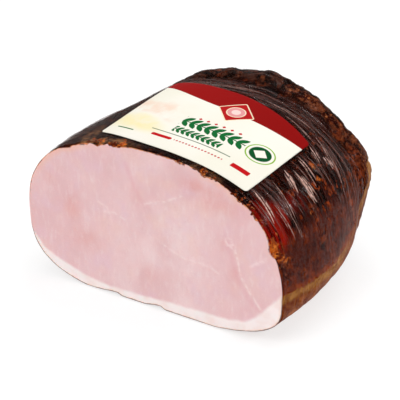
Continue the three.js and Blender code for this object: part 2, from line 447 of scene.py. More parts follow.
# %% Lumps, tears and pits
CRUST_GAP = 0.4  # the crust lies this far inside the form, and the film on it
LUMP_SHARE = 0.8
# Each tear: where it is, how wide and how deep, in millimetres.
TEARS = [
    ((88.5, 0, 64.5), 6.5, 3.4),
    ((97.0, 6, 56), 6.0, 1.8),
    ((-39, 1, 108), 7.0, 1.6),
    ((-24, 0, 110), 5.0, 1.3),
    ((42, 0, 106), 4.0, 1.3),
    ((66, 0, 94), 4.0, 1.0),
    ((-62, 2, 101), 8.0, 1.6),
]
# Each pit: y and tape where it is, how wide and how deep.
PIT_PLACES = [(15.8, 135, 2.2, 1.6), (7.8, 135.5, 2.4, 1.5), (48, 137, 3.4, 2.2), (30, 126, 2.0, 1.2)]
PIT_PLACES += [(74, 128, 2.6, 1.4), (60, 142, 2.0, 1.2), (92, 134, 2.4, 1.4), (38, 148, 1.8, 1.0)]
PIT_PLACES += [(84, 147.5, 3.0, 1.8), (44.5, 112.5, 2.2, 1.4)]


def on_form(places):
    """The places of a list, which begin with y and tape, as points on the ham."""
    return [(ham_form(y / DEPTH, angle_at(tape)), reach, strong) for y, tape, reach, strong in places]


# Each place where the smoke has foxed the crust a rusty brown: y and tape, reach and strength.
FOXED_PLACES = [(49, 131, 5, 0.95), (64, 117, 5, 0.8), (72, 110, 4, 0.7), (94, 129, 8, 0.9)]
FOXED_PLACES += [(101, 119, 7, 0.85), (86, 140, 4, 0.8), (46.5, 110, 5, 0.8), (112, 122, 9, 1.0)]
FOXED_PLACES += [(118, 110, 9, 0.75), (99, 143, 7, 0.9), (34, 137, 4, 0.7), (78, 131, 4, 0.7)]
FOXED_PLACES += [(24, 142, 5, 0.8), (58, 146, 6, 0.8), (122, 92, 9, 0.45)]
PITS, FOXED = on_form(PIT_PLACES), on_form(FOXED_PLACES)


def far_end(points):
    return ease(points[..., 1], 108, 126)


# Two steps in the rind where the knife came out, as x and the height of the step.
RIND_STEPS = [(-27.5, 1.5), (7.5, 2.0)]


def rind_steps(points):
    """How far the rind under the cut is drawn up at each place."""
    lift = np.zeros(points.shape[:-1])
    for x, height in RIND_STEPS:
        aside = points[..., 0] - x
        lift += height * np.where(aside < 0, bell(aside, 0, 11), bell(aside, 0, 3))
    lift -= 0.7 * bell(points[..., 0], -7, 10)
    return lift * (1 - ease(points[..., 1], 3, 22)) * (1 - ease(points[..., 2], 6, 16))


def big_lumps(points):
    """Lumps that the film follows too."""
    far = far_end(points)
    return (0.5 + 1.1 * far) * uneven(points, 17, 3) + 0.85 * far * uneven(points, 8, 4)


def hollows(points, places):
    depth = np.zeros(points.shape[:-1])
    for centre, width, deep in places:
        away = np.linalg.norm(points - np.array(centre), axis=-1)
        depth = np.maximum(depth, deep * bell(away, 0, width))
    return depth


def off_tip_and_foot(points, y):
    """1 where relief may stand up, fading to 0 towards the smooth tip and the flat foot."""
    return (1 - ease(y, 176, 194)) * ease(points[..., 2], 1, 10)


def film_lift(points, y, tape):
    open_ground = ease(outside_label(y, tape), 0, 2.5) * ease(y, 0.5, 4) * off_tip_and_foot(points, y)
    calm = 1 - 0.5 * ease(-tape, 20, 55)
    relief = calm * fold_height(y, tape) + LUMP_SHARE * big_lumps(points)
    return open_ground * relief - 0.3 * hollows(points, TEARS)


def crust_lift(points, y):
    open_ground = ease(y, 0, 3) * off_tip_and_foot(points, y)
    crag = 0.35 * uneven(points, 5.5, 6) + 0.22 * uneven(points, 2.6, 7)
    crag = crag * (1 + 1.3 * far_end(points)) - 0.2 * far_end(points)
    return (
        -CRUST_GAP
        + LUMP_SHARE * open_ground * big_lumps(points)
        + (0.3 + 0.7 * ease(y, 0, 6)) * np.minimum(crag, 0.3)
        - hollows(points, TEARS) * (1 + 0.4 * uneven(points, 3, 9))
        - hollows(points, PITS)
    )


# %% [markdown]
# Both skins are grids: rings that run round the ham, from the cut's edge to the far end. The rings lie close
# together where folds and crags need it and further apart behind. The cut face is a set of rings too, drawn
# in from its edge to its middle.

# %% Meshes from rings
FINE_DEPTH = 128  # the rings lie close together up to here
CROWDING = 1.7  # behind that they crowd towards the tip


def put(name, data):
    """Stands a mesh, a light or a camera in the scene."""
    thing = bpy.data.objects.new(name, data)
    bpy.context.scene.collection.objects.link(thing)
    return thing


def even_angles(count):
    return angle_at(-np.arange(count) * GIRTH / count)


def ring_places(near_step, far_count):
    """Where the rings stand from the cut to the far end, as shares of the depth."""
    near = np.arange(0, FINE_DEPTH, near_step)
    start = near[-1] / DEPTH
    k = np.arange(1, far_count) / far_count
    return np.concatenate([near / DEPTH, start + (1 - start) * (1 - (1 - k) ** CROWDING)])


def ring_grid(around, shares):
    """Share of the depth, angle, point and y of every place on a set of rings."""
    t, angle = np.meshgrid(shares, even_angles(around), indexing="ij")
    return t, angle, ham_form(t, angle), t * DEPTH


def close_rings(name, rings, tip, cut_middle, materials, cut_rings=0):
    """One closed skin: rings from the middle of the cut to the far end, and a point at each end."""
    count, around = rings.shape[:2]
    points = np.concatenate([[cut_middle], rings.reshape(-1, 3), [tip]]) + TO_FRAME
    k = np.arange(around)
    nxt = (k + 1) % around
    start = 1 + np.arange(count - 1)[:, None] * around
    quads = np.stack([start + k, start + nxt, start + around + nxt, start + around + k], -1).reshape(-1, 4)
    last = len(points) - 1
    faces = [(0, 1 + a, 1 + b) for a, b in zip(k, nxt)]
    faces += [tuple(q[::-1]) for q in quads.tolist()]
    faces += [(last, last - around + b, last - around + a) for a, b in zip(k, nxt)]
    mesh = bpy.data.meshes.new(name)
    mesh.from_pydata((points * MM).tolist(), [], [[int(i) for i in f] for f in faces])
    for material in materials:
        mesh.materials.append(material)
    if cut_rings:
        slots = np.ones(len(faces), int)
        slots[: around + cut_rings * around] = 0
        mesh.polygons.foreach_set("material_index", slots)
    mesh.shade_smooth()
    mesh.update()
    thing = put(name, mesh)
    print(name, "has", len(points), "points and", sum(len(f) - 2 for f in faces), "triangles")
    return thing


def note_on(thing, name, values):
    """Keeps one number for each point of the mesh, for the finish to read."""
    layer = thing.data.attributes.new(name, "FLOAT", "POINT")
    layer.data.foreach_set("value", np.asarray(values, np.float32).ravel())


# %% [markdown]
# Finishes are built from nodes. A small class keeps that short: each of its steps adds one node and returns
# the socket that carries the result, so a finish reads from top to bottom like a recipe. Colours are written
# as the eye reads them, from 0 to 255, and turned into light here.

# %% A recipe for a finish
def colour(red, green, blue):
    """The light of a colour that is written as the eye reads it."""

    def light(value):
        value /= 255
        return value / 12.92 if value <= 0.04045 else ((value + 0.055) / 1.055) ** 2.4

    return (light(red), light(green), light(blue), 1)


class Recipe:
    def __init__(self, name):
        self.material = bpy.data.materials.new(name)
        self.material.use_nodes = True
        self.tree = self.material.node_tree
        self.tree.nodes.clear()
        self.out = self.tree.nodes.new("ShaderNodeOutputMaterial")
        self.place = self.node("TexCoord").outputs["Object"]

    def node(self, kind, settings=(), **inputs):
        made = self.tree.nodes.new("ShaderNode" + kind)
        for key, value in dict(settings).items():
            setattr(made, key, value)
        for key, value in inputs.items():
            numbered = key[0] == "i" and key[1:].isdigit()
            self.feed(made.inputs[int(key[1:]) if numbered else key.replace("_", " ")], value)
        return made

    def feed(self, socket, value):
        if isinstance(value, bpy.types.NodeSocket):
            self.tree.links.new(value, socket)
        elif socket.type == "RGBA" and len(value) == 3:
            socket.default_value = colour(*value)
        else:
            socket.default_value = value

    def math(self, operation, a, b=0.0, clamp=False):
        how = {"operation": operation, "use_clamp": clamp}
        return self.node("Math", how, i0=a, i1=b).outputs[0]

    def times(self, a, b):
        return self.math("MULTIPLY", a, b)

    def plus(self, a, b, clamp=False):
        return self.math("ADD", a, b, clamp)

    def minus(self, a, b):
        return self.math("SUBTRACT", a, b)

    def over(self, a, b):
        return self.math("DIVIDE", a, b)

    def larger(self, a, b):
        return self.math("MAXIMUM", a, b)

    def size(self, a):
        return self.math("ABSOLUTE", a)

    def mix(self, share, a, b):
        made = self.node("Mix", {"data_type": "RGBA"})
        self.feed(made.inputs[0], share)
        self.feed(made.inputs[6], a)
        self.feed(made.inputs[7], b)
        return made.outputs[2]

    def ramp(self, value, low, high, to_low=0.0, to_high=1.0):
        made = self.node("MapRange", {"interpolation_type": "SMOOTHSTEP"})
        for k, number in enumerate((value, low, high, to_low, to_high)):
            self.feed(made.inputs[k], number)
        return made.outputs[0]

    def dapple(self, under, tone, value, low, high, share=1.0):
        """Lays a tone over another where a value passes from low to high, at most by a share."""
        return self.mix(self.ramp(value, low, high, 0, share), under, tone)

    def noted(self, name):
        return self.node("Attribute", {"attribute_name": name}).outputs["Fac"]

    def noise(self, place, scale, detail, rough):
        made = self.node("TexNoise", Vector=place, Scale=scale, Detail=detail, Roughness=rough)
        return made.outputs["Fac"]

    def spots(self, size, detail=2.0, stretch=(1, 1, 1), shift=(0, 0, 0), rough=0.5):
        """Soft noise from 0 to 1, with blobs about as wide as size, in millimetres."""
        place = self.node("Mapping", Vector=self.place, Location=shift, Scale=stretch).outputs[0]
        return self.noise(place, 1 / (size * MM), detail, rough)

    def streaks(self, wide, long, detail=2.0, seed=0.0, rough=0.5):
        """Noise from 0 to 1 drawn out along the tape, in millimetres, for what runs round the ham."""
        across = self.over(self.noted("along_mm"), wide)
        round_ = self.over(self.noted("tape_mm"), long)
        place = self.node("CombineXYZ", X=across, Y=round_, Z=seed).outputs[0]
        return self.noise(place, 1.0, detail, rough)

    def bump(self, height, depth, strength=1.0, under=None):
        """A bump whose full height is depth, in millimetres."""
        made = self.node("Bump", Height=height, Strength=strength, Distance=depth * MM)
        if under is not None:
            self.feed(made.inputs["Normal"], under)
        return made.outputs[0]

    def surface(self, **inputs):
        made = self.node("BsdfPrincipled")
        for key, value in inputs.items():
            self.feed(made.inputs[key.replace("_", " ")], value)
        return made

    def finish(self, shader):
        self.tree.links.new(shader.outputs[0], self.out.inputs["Surface"])
        return self.material


# %% [markdown]
# The cut face is cooked cured meat: pale pink, with paler fibres, rosier patches where the muscle is lean,
# and thin pale seams of fat between the muscles. Light goes a little way into it. Below lies the band of
# white fat, thin on the left and thick in the lower right corner, and a fine dark line of rind under it.

# %% Finish of the cut meat
def make_cut_finish():
    r = Recipe("cut meat")
    pink, rosy, pale = (233, 204, 204), (220, 178, 180), (237, 214, 212)
    tone = r.dapple(pink, rosy, r.spots(30, 2), 0.42, 0.72, 0.8)
    tone = r.mix(r.times(r.noted("deeper"), 0.6), tone, (223, 177, 180))
    tone = r.dapple(tone, rosy, r.spots(13, 3, shift=(4, 1, 7)), 0.5, 0.75, 0.4)
    tone = r.dapple(tone, (223, 186, 198), r.spots(16, 2, shift=(7, 4, 2)), 0.5, 0.75, 0.5)
    tone = r.dapple(tone, (231, 193, 182), r.spots(18, 2, shift=(2, 9, 5)), 0.52, 0.76, 0.4)
    fibre = r.spots(6, 4, stretch=(2.2, 1, 0.8), rough=0.62)
    tone = r.dapple(tone, pale, fibre, 0.48, 0.74, 0.35)
    grains = r.spots(3, 3, stretch=(1.6, 1, 1), rough=0.7, shift=(6, 2, 9))
    tone = r.dapple(tone, rosy, grains, 0.52, 0.7, 0.35)
    tone = r.mix(r.times(r.noted("rosy"), r.ramp(fibre, 0.2, 0.7, 0.9, 0.55)), tone, (219, 154, 149))
    specks = r.ramp(r.spots(1.5, 2, shift=(2, 2, 2), stretch=(1, 1, 1.8)), 0.62, 0.74)
    tone = r.mix(r.times(specks, 0.3), tone, (250, 230, 224))
    tone = r.mix(r.times(r.noted("dark_seam"), 0.3), tone, (220, 158, 166))
    seam = r.times(r.noted("pale_seam"), r.ramp(r.spots(3, 2), 0.35, 0.6, 0.05, 0.6))
    tone = r.mix(seam, tone, (248, 230, 226))
    # Near the edge the smoke has coloured the meat a warm buff.
    rim = r.noted("rim_mm")
    wobble = r.times(r.minus(r.spots(7, 2, shift=(9, 3, 1)), 0.5), 3.0)
    edge = r.plus(rim, wobble)
    warm = r.times(r.ramp(edge, 0.2, 6.5, 1, 0), r.noted("warm_rim"))
    tone = r.mix(r.times(warm, 0.75), tone, (232, 184, 166))
    fat_edge = r.plus(r.noted("fat_edge"), r.times(wobble, 0.5))
    fat = r.ramp(fat_edge, -1.6, 1.3)
    fat_tone = r.dapple((243, 231, 229), (239, 220, 216), r.spots(9, 2, shift=(1, 8, 3)), 0.4, 0.75)
    fat_tone = r.mix(r.times(r.ramp(edge, 0.2, 2.2, 1, 0), 0.5), fat_tone, (238, 196, 168))
    tone = r.mix(fat, tone, fat_tone)
    ragged = r.minus(r.spots(4.5, 3, rough=0.65, shift=(2, 7, 2)), 0.42)
    thick = r.minus(r.times(rim, 0.16), r.times(ragged, r.noted("torn_edge")))
    crust_edge = r.times(r.noted("crust_edge"), r.ramp(thick, 0.02, 0.12, 1, 0))
    crumb = r.dapple((96, 34, 14), (204, 124, 66), r.spots(1.8, 2, shift=(3, 9, 4)), 0.4, 0.6)
    tone = r.mix(crust_edge, tone, crumb)
    rind_line = r.times(r.noted("rind_line"), r.ramp(r.plus(rim, ragged), 0.35, 1.0, 1, 0))
    tone = r.mix(rind_line, tone, (92, 62, 56))
    relief = r.bump(r.spots(2.2, 3, stretch=(1, 1, 2)), 0.25, 0.5)
    relief = r.bump(r.spots(11, 2), 0.8, 0.5, relief)
    meat = r.surface(
        Base_Color=tone,
        Roughness=r.ramp(r.spots(6, 2), 0.3, 0.7, 0.34, 0.5),
        Normal=relief,
        Subsurface_Weight=0.35,
        Subsurface_Scale=0.004,
    )
    meat.inputs["Subsurface Radius"].default_value = (1.0, 0.42, 0.34)
    return r.finish(meat)


cut_finish = make_cut_finish()


# %% [markdown]
# The crust is smoked until it is nearly black on top, and lacquered. It is deep red where it is thin, beside
# the cut, chocolate brown down the right side, and mottled with rusty brown on the far end. A tan seam of fat
# shows along the right side, and the rind below it is a warm brown. The zones are noted on the mesh's points,
# and noise in the finish breaks up their edges.

# %% Finish of the smoked crust
def make_crust_finish():
    r = Recipe("smoked crust")
    wander = r.minus(r.spots(11, 3, rough=0.6), 0.5)

    def zone(name, softness=0.3):
        noisy = r.plus(r.noted(name), r.times(wander, 0.9))
        return r.ramp(noisy, 0.5 - softness, 0.5 + softness)

    fine = r.spots(3.2, 4, rough=0.65)
    strand = r.streaks(3.0, 46, 3, 1.0, 0.6)
    broken = r.times(r.ramp(strand, 0.42, 0.68), r.ramp(r.spots(13, 3, shift=(8, 3, 6)), 0.36, 0.6, 0.3, 1))
    black = r.mix(broken, (10, 3, 2), (58, 18, 11))
    black = r.dapple(black, (96, 28, 11), r.spots(6, 3, rough=0.7, shift=(5, 1, 9)), 0.6, 0.74, 0.5)
    clouds = r.spots(9, 4, rough=0.6, shift=(9, 2, 2))
    chocolate = r.dapple((28, 7, 5), (54, 17, 11), clouds, 0.4, 0.58)
    grains = r.spots(2.2, 3, rough=0.7, shift=(8, 8, 1))
    chocolate = r.dapple(chocolate, (82, 33, 23), grains, 0.48, 0.58, 0.7)
    patch = r.ramp(r.spots(6, 4, rough=0.7, shift=(3, 3, 1)), 0.53, 0.6, 0, 0.75)
    chocolate = r.mix(patch, chocolate, (112, 40, 12))
    hair = r.ramp(r.streaks(2.4, 26, 3, 4.0, 0.6), 0.54, 0.68, 0, 0.35)
    chocolate = r.mix(hair, chocolate, (94, 50, 42))
    chocolate = r.dapple(chocolate, (28, 7, 5), r.spots(3.4, 3, rough=0.65, shift=(5, 6, 8)), 0.6, 0.68, 0.75)
    red = r.dapple((58, 3, 1), (142, 20, 9), strand, 0.35, 0.65)
    cap = r.dapple((44, 12, 6), (106, 54, 32), r.spots(6, 4, rough=0.7), 0.44, 0.58)
    cap = r.dapple(cap, (150, 84, 46), r.spots(3.4, 3, shift=(3, 3, 8), rough=0.65), 0.59, 0.68)
    cap = r.dapple(cap, (22, 7, 4), r.spots(6, 4, shift=(8, 1, 4), rough=0.72), 0.51, 0.57)
    dark_cap = r.dapple((14, 6, 4), (64, 34, 24), r.spots(6, 5, shift=(1, 7, 4), rough=0.72), 0.46, 0.58)
    browned = r.plus(r.noted("cap_brown"), r.times(wander, 1.5))
    cap = r.dapple(dark_cap, cap, browned, 0.4, 0.6)
    buff = r.dapple((40, 20, 12), (126, 86, 56), r.spots(4, 3, shift=(6, 6, 1), rough=0.6), 0.42, 0.62)
    flecks = r.ramp(r.spots(1.3, 3, rough=0.6, shift=(7, 7, 3)), 0.44, 0.56)
    chocolate = r.mix(r.times(flecks, 0.4), chocolate, (96, 42, 30))
    specks = r.ramp(r.spots(1.6, 2, rough=0.6, shift=(2, 4, 8)), 0.58, 0.64)
    chocolate = r.mix(r.times(specks, 0.6), chocolate, (26, 7, 5))
    tone = r.mix(zone("chocolate"), black, chocolate)
    tone = r.mix(zone("deep_red"), tone, red)
    tone = r.mix(zone("far_end"), tone, cap)
    tone = r.mix(zone("buff", 0.4), tone, buff)
    foxed = r.dapple((38, 10, 5), (114, 46, 20), r.spots(2.6, 4, rough=0.7, shift=(4, 9, 6)), 0.43, 0.57)
    tone = r.mix(zone("foxed"), tone, foxed)
    spot = r.ramp(r.spots(5, 4, shift=(7, 2, 4), rough=0.65), 0.57, 0.66)
    tone = r.mix(r.times(spot, r.noted("spotty")), tone, (140, 54, 18))
    ragged = r.minus(r.spots(3.4, 3, rough=0.7, shift=(1, 2, 6)), 0.5)
    glow = r.ramp(r.plus(r.noted("orange"), r.times(ragged, 1.9)), 0.45, 0.85)
    tone = r.mix(glow, tone, r.mix(r.ramp(fine, 0.35, 0.65), (168, 66, 14), (212, 120, 46)))
    seam_mm = r.plus(r.noted("seam_mm"), r.times(wander, 6.0))
    rough_mm = r.plus(seam_mm, r.times(ragged, 7.0))
    fringe = r.times(r.ramp(rough_mm, 8.5, 4.5, 0, 0.95), r.noted("low_side"))
    tone = r.mix(fringe, tone, r.mix(r.ramp(fine, 0.4, 0.6), (92, 30, 10), (136, 56, 18)))
    rind = r.dapple((98, 40, 14), (144, 78, 34), r.spots(8, 4, rough=0.65), 0.4, 0.62)
    rind = r.dapple(rind, (78, 30, 14), r.streaks(1.6, 18, 3, 6.0, 0.65), 0.5, 0.68, 0.5)
    rind = r.mix(r.times(r.noted("deep_rind"), r.ramp(fine, 0.3, 0.7, 0.95, 0.6)), rind, (66, 27, 13))
    tone = r.mix(r.ramp(seam_mm, -1.2, 0.6, 1, 0), tone, rind)
    tan = r.dapple((108, 54, 16), (162, 110, 52), r.spots(5, 4, rough=0.7, shift=(2, 2, 9)), 0.32, 0.66)
    tan_mm = r.minus(rough_mm, r.noted("tan_wide"))
    band = r.times(r.ramp(tan_mm, 3.6, 2.2, 0, 1), r.ramp(seam_mm, -5.0, -1.0))
    tone = r.mix(r.times(band, r.noted("tan_shows")), tone, tan)
    # Painted shade in the crust's pits, where the mesh has hollows, and in a random scatter of dark spots.
    painted_pit_shade = r.ramp(r.spots(4.5, 2, shift=(1, 5, 2)), 0.3, 0.22)
    painted_pit_shade = r.larger(r.times(painted_pit_shade, 0.8), r.ramp(r.noted("pit_shade"), 0.4, 0.8))
    tone = r.mix(painted_pit_shade, tone, (18, 5, 3))
    relief = r.bump(fine, 0.5, 0.6)
    relief = r.bump(r.spots(9, 3, rough=0.6), 1.2, 0.45, relief)
    crust = r.surface(
        Base_Color=tone,
        Roughness=r.ramp(fine, 0.3, 0.7, 0.32, 0.6),
        Normal=relief,
        Specular_IOR_Level=0.0,
    )
    return r.finish(crust)


crust_finish = make_crust_finish()


# %% [markdown]
# The meat and its crust are one mesh with two finishes. The fat's inner edge and the seams on the cut are
# short lists of places that the finish gets as distances, so its lines stay sharp and can wander a little.

# %% Places on the cut face
# The fat's inner edge, from left to right, as x and z on the cut.
FAT_EDGE = [(-99, 31), (-88, 19), (-74, 13.5), (-53, 7.5), (-32, 5), (7, 6.5), (39, 8), (60, 8.8)]
FAT_EDGE += [(72, 11), (80, 17), (85, 23), (91, 30), (97, 37), (106, 43)]
# Seams: how strong each shows, and its points as x and z.
PALE_SEAMS = [
    (0.8, [(60, 60), (63, 58), (65.4, 51.3), (69.9, 38.8), (76.4, 29.6), (82.2, 23.0)]),
    (0.9, [(74.6, 50.5), (80, 54), (86, 59)]),
    (0.55, [(9.4, 48.3), (26.8, 42.5), (45.3, 42.1), (52, 38)]),
    (0.7, [(-5.5, 71.9), (10, 78), (24.9, 85.5)]),
    (0.5, [(-40, 66), (-33, 63), (-30, 58), (-30, 52)]),
    (0.5, [(-36, 60), (-26, 61), (-19, 58)]),
    (0.9, [(56, 64), (58, 60), (62, 62), (60, 66)]),
]
DARK_SEAMS = [
    (1.0, [(-18, 97), (-14, 90), (-10.7, 81.7), (-5.5, 73.3)]),
    (1.0, [(58, 62), (62, 50), (67, 38), (74, 28), (80, 22)]),
]
# Rosy patches: x, z, reach sideways and upwards, strength.
ROSY = [(34, 94, 9, 5, 1.0), (46, 92, 12, 5, 0.8), (62, 86, 12, 6, 0.6), (-62, 56, 7, 11, 0.75)]
ROSY += [(-80, 74, 6, 6, 0.5), (-52, 36, 13, 8, 0.6), (-10, 78, 6, 8, 0.35), (64, 40, 5, 9, 0.5)]
ROSY += [(2, 24, 20, 7, 0.25), (56, 60, 5, 5, 0.4), (50, 87, 20, 7, 0.7)]


def distance_to_line(x, z, line):
    nearest = np.full(x.shape, 1e9)
    for (x0, z0), (x1, z1) in zip(line, line[1:]):
        dx, dz = x1 - x0, z1 - z0
        along = np.clip(((x - x0) * dx + (z - z0) * dz) / (dx**2 + dz**2), 0, 1)
        nearest = np.minimum(nearest, np.hypot(x - x0 - along * dx, z - z0 - along * dz))
    return nearest


def drawn_lines(points, lines, width):
    x = points[..., 0] + 1.2 * uneven(points, 9, 12)
    z = points[..., 2] + 1.2 * uneven(points, 9, 13)
    return np.max([strong * bell(distance_to_line(x, z, line), 0, width) for strong, line in lines], axis=0)


# %% Build the meat
MEAT_AROUND = 400
CUT_RING_COUNT = 84
CUT_INSET = 0.3  # the meat's cut lies this far behind the film's


def build_meat():
    t, angle, form, y = ring_grid(MEAT_AROUND, ring_places(1.3, 46))
    skin = form + ham_normal(t, angle) * crust_lift(form, y)[..., None]
    skin[..., 1] += CUT_INSET * (1 - ease(y, 0, 6))
    skin[..., 2] = np.maximum(skin[..., 2] + rind_steps(form), 0.35)
    middle = np.array([CROWN_X, CUT_INSET, CUT_HEIGHT / 2])
    share = ((np.arange(CUT_RING_COUNT) + 0.5) / CUT_RING_COUNT)[:, None, None]
    edge = skin[:1]
    face = middle + (edge - middle) * share
    open_face = ease(np.linalg.norm(face - edge, axis=-1), 0, 4)
    face[..., 1] = CUT_INSET + open_face * 0.18 * (1 + uneven(face, 12, 15))
    face[..., 1] += 0.22 * open_face * drawn_lines(face, PALE_SEAMS, 1.1)
    rings = np.concatenate([face, skin])
    tip = np.array([skin[-1, :, 0].mean(), DEPTH - 0.7, skin[-1, :, 2].mean()])
    meat = close_rings("ham_meat", rings, tip, middle, [cut_finish, crust_finish], CUT_RING_COUNT)
    return meat, rings, tip, middle, edge


ham_meat, meat_rings, meat_tip, meat_middle, cut_edge = build_meat()


# %% [markdown]
# Now the notes for the finishes: how far each point of the cut lies from its edge and from the fat, and which
# zone of the crust each point of the outside belongs to.

# %% Notes for the cut and the crust
# Where the cut's edge is rough with torn crust, as x and z, and how far each place reaches.
ROUGH_EDGE = [(-46, 106, 7), (-26, 109, 8), (26, 108, 9), (44, 105, 7), (66, 95, 6), (73, 90, 7)]
ROUGH_EDGE += [(80, 80, 5), (89, 64, 7)]


def rough_edge(points):
    x, z = points[..., 0], points[..., 2]
    return np.max([bell(np.hypot(x - cx, z - cz), 0, reach) for cx, cz, reach in ROUGH_EDGE], axis=0)


# Where the crust glows orange: the place, its reach and its strength.
GLOWS = [
    ((88.5, 1, 64.5), 7, 1.1),
    ((96, 7, 58), 6, 0.75),
    ((79, 70, 94), 4, 0.85),
    ((86, 67, 87), 3.5, 0.62),
    ((101, 49, 53), 4.5, 0.62),
    ((92, 46, 73), 4, 0.6),
    ((90, 77, 83), 4, 0.55),
    ((-39, 4, 108), 5, 0.7),
    ((-22, 3, 109.5), 5, 1.0),
    ((40, 1, 105), 4, 0.7),
]
# The tan seam's height along the right side, as y and z.
SEAM_LINE = [(0, 34), (28, 31), (63, 30), (84, 34), (105, 41), (119, 52), (128, 68), (150, 80)]


def seam_height(points):
    """Height of the tan fat seam along the outside of the ham."""
    right = np.interp(points[..., 1], *np.array(SEAM_LINE).T)
    leftwards = ease(points[..., 0], -70, 70)
    return 27 + (right - 27) * leftwards


def meat_notes():
    """Every note the two finishes read, for each point of the meat."""
    notes = {}
    p = meat_points
    on_cut = np.zeros(len(p))
    on_cut[: 1 + MEAT_AROUND * CUT_RING_COUNT] = 1
    edge = np.tile(cut_edge[0], (len(meat_rings), 1))
    rim = np.linalg.norm(p[1:-1] - edge, axis=1)
    rim = np.where(on_cut[1:-1] > 0, rim, 0)
    notes["rim_mm"] = np.concatenate([[60], rim, [0]])
    x, y, z = p.T
    inner = np.interp(x, *np.array(FAT_EDGE).T)
    slope = np.interp(x + 1, *np.array(FAT_EDGE).T) - np.interp(x - 1, *np.array(FAT_EDGE).T)
    notes["fat_edge"] = (inner - z) / np.hypot(1, slope / 2)
    notes["pale_seam"] = drawn_lines(p, PALE_SEAMS, 0.8)
    notes["dark_seam"] = drawn_lines(p, DARK_SEAMS, 1.8)
    patches = [k * bell(x, cx, wide) * bell(z, cz, tall) for cx, cz, wide, tall, k in ROSY]
    notes["rosy"] = np.max(patches, axis=0)
    notes["crust_edge"] = ease(z, 48, 70)
    notes["torn_edge"] = 0.25 + 1.2 * rough_edge(p)
    notes["deeper"] = np.maximum(1 - ease(x - 0.3 * z, -60, 10), ease(x, 15, 55))
    notes["rind_line"] = 1 - ease(z, 26, 40)
    upper_left = (1 - ease(x, -60, -30)) * ease(z, 64, 86)
    notes["warm_rim"] = 0.15 + 0.85 * np.maximum(upper_left, bell(x, 52, 16) * ease(z, 24, 60))
    notes["seam_mm"] = z - seam_height(p)
    notes["tan_shows"] = (1 - 0.85 * bell(y, 98, 16)) * (1 - 0.75 * ease(y, 136, 164))
    notes["tan_wide"] = 5 * ease(y, 108, 118) * (1 - ease(y, 132, 150))
    notes["deep_rind"] = np.maximum(ease(y, 100, 140), 1 - ease(x, 30, 80))
    along = np.concatenate([[0], meat_tape.ravel(), [0]])
    brown_band = bell(y, 124.5, 6) * ease(along, 30, 44) * (1 - ease(along, 84, 100))
    notes["cap_brown"] = np.maximum.reduce([brown_band, 0.95 * ease(along, 86, 104), 0.32 + 0 * y])
    buff = 1.1 * bell(along, -30, 22) * (1 - ease(y, 5, 13)) + 0.8 * bell(along, -50, 7) * bell(y, 15, 11)
    buff = buff + 0.75 * bell(along, 46, 15) * (1 - ease(y, 3, 9))
    notes["buff"] = buff * (1 - on_cut)
    far_right = 0.8 * bell(y, 136, 16) * ease(x, 30, 70) * (1 - ease(z, 70, 96))
    notes["foxed"] = np.maximum(hollows(p, FOXED), far_right)
    notes["far_end"] = ease(y + 8 * uneven(p, 14, 20), 104, 128)
    notes["chocolate"] = ease(x, 78, 92) * (1 - ease(z, 62, 80)) * (1 - ease(y, 100, 126))
    red = (1 - ease(y, 10, 26)) * bell(z, 77, 14) * ease(x, 60, 74)
    notes["deep_red"] = red + 0.45 * (1 - ease(y, 30, 70)) * ease(x, 70, 85) * bell(z, 84, 14)
    # How deep each pit is, for the shade painted in it.
    notes["pit_shade"] = hollows(p, PITS) / 1.6
    notes["low_side"] = ease(x, 60, 85) * (1 - ease(y, 112, 135))
    flank = bell(y, 66, 30) * bell(along, 106, 20)
    notes["spotty"] = 0.2 + 0.75 * flank + 0.2 * ease(x, 50, 80) * (1 - far_end(p))
    notes["orange"] = hollows(p, GLOWS)
    notes["along_mm"] = np.concatenate([[0], meat_y.ravel(), [DEPTH]])
    notes["tape_mm"] = np.concatenate([[0], meat_tape.ravel(), [0]])
    return notes


meat_points = np.concatenate([[meat_middle], meat_rings.reshape(-1, 3), [meat_tip]])
meat_y = np.concatenate([np.zeros((CUT_RING_COUNT, MEAT_AROUND)), meat_rings[CUT_RING_COUNT:, :, 1]])
meat_tape = np.broadcast_to(tape_at(even_angles(MEAT_AROUND)), meat_y.shape)
for note_name, note_values in meat_notes().items():
    note_on(ham_meat, note_name, note_values)
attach(ham_meat, "root")


# %% [markdown]
# Clear film shows itself by its gloss, and by a grey haze where it is stretched, doubled or stands off the
# meat. So the finish lets light straight through, puts haze where the mesh notes it, and mirrors the room
# more the flatter the eye looks along it. The haze's grey-brown colour is also painted sheen, the film's
# reflection of the room and the lights, on the crests, in broad bands and in patches, and the pale creases
# get a painted highlight. A glass finish would bend the light and darken the meat, which thin film doesn't.

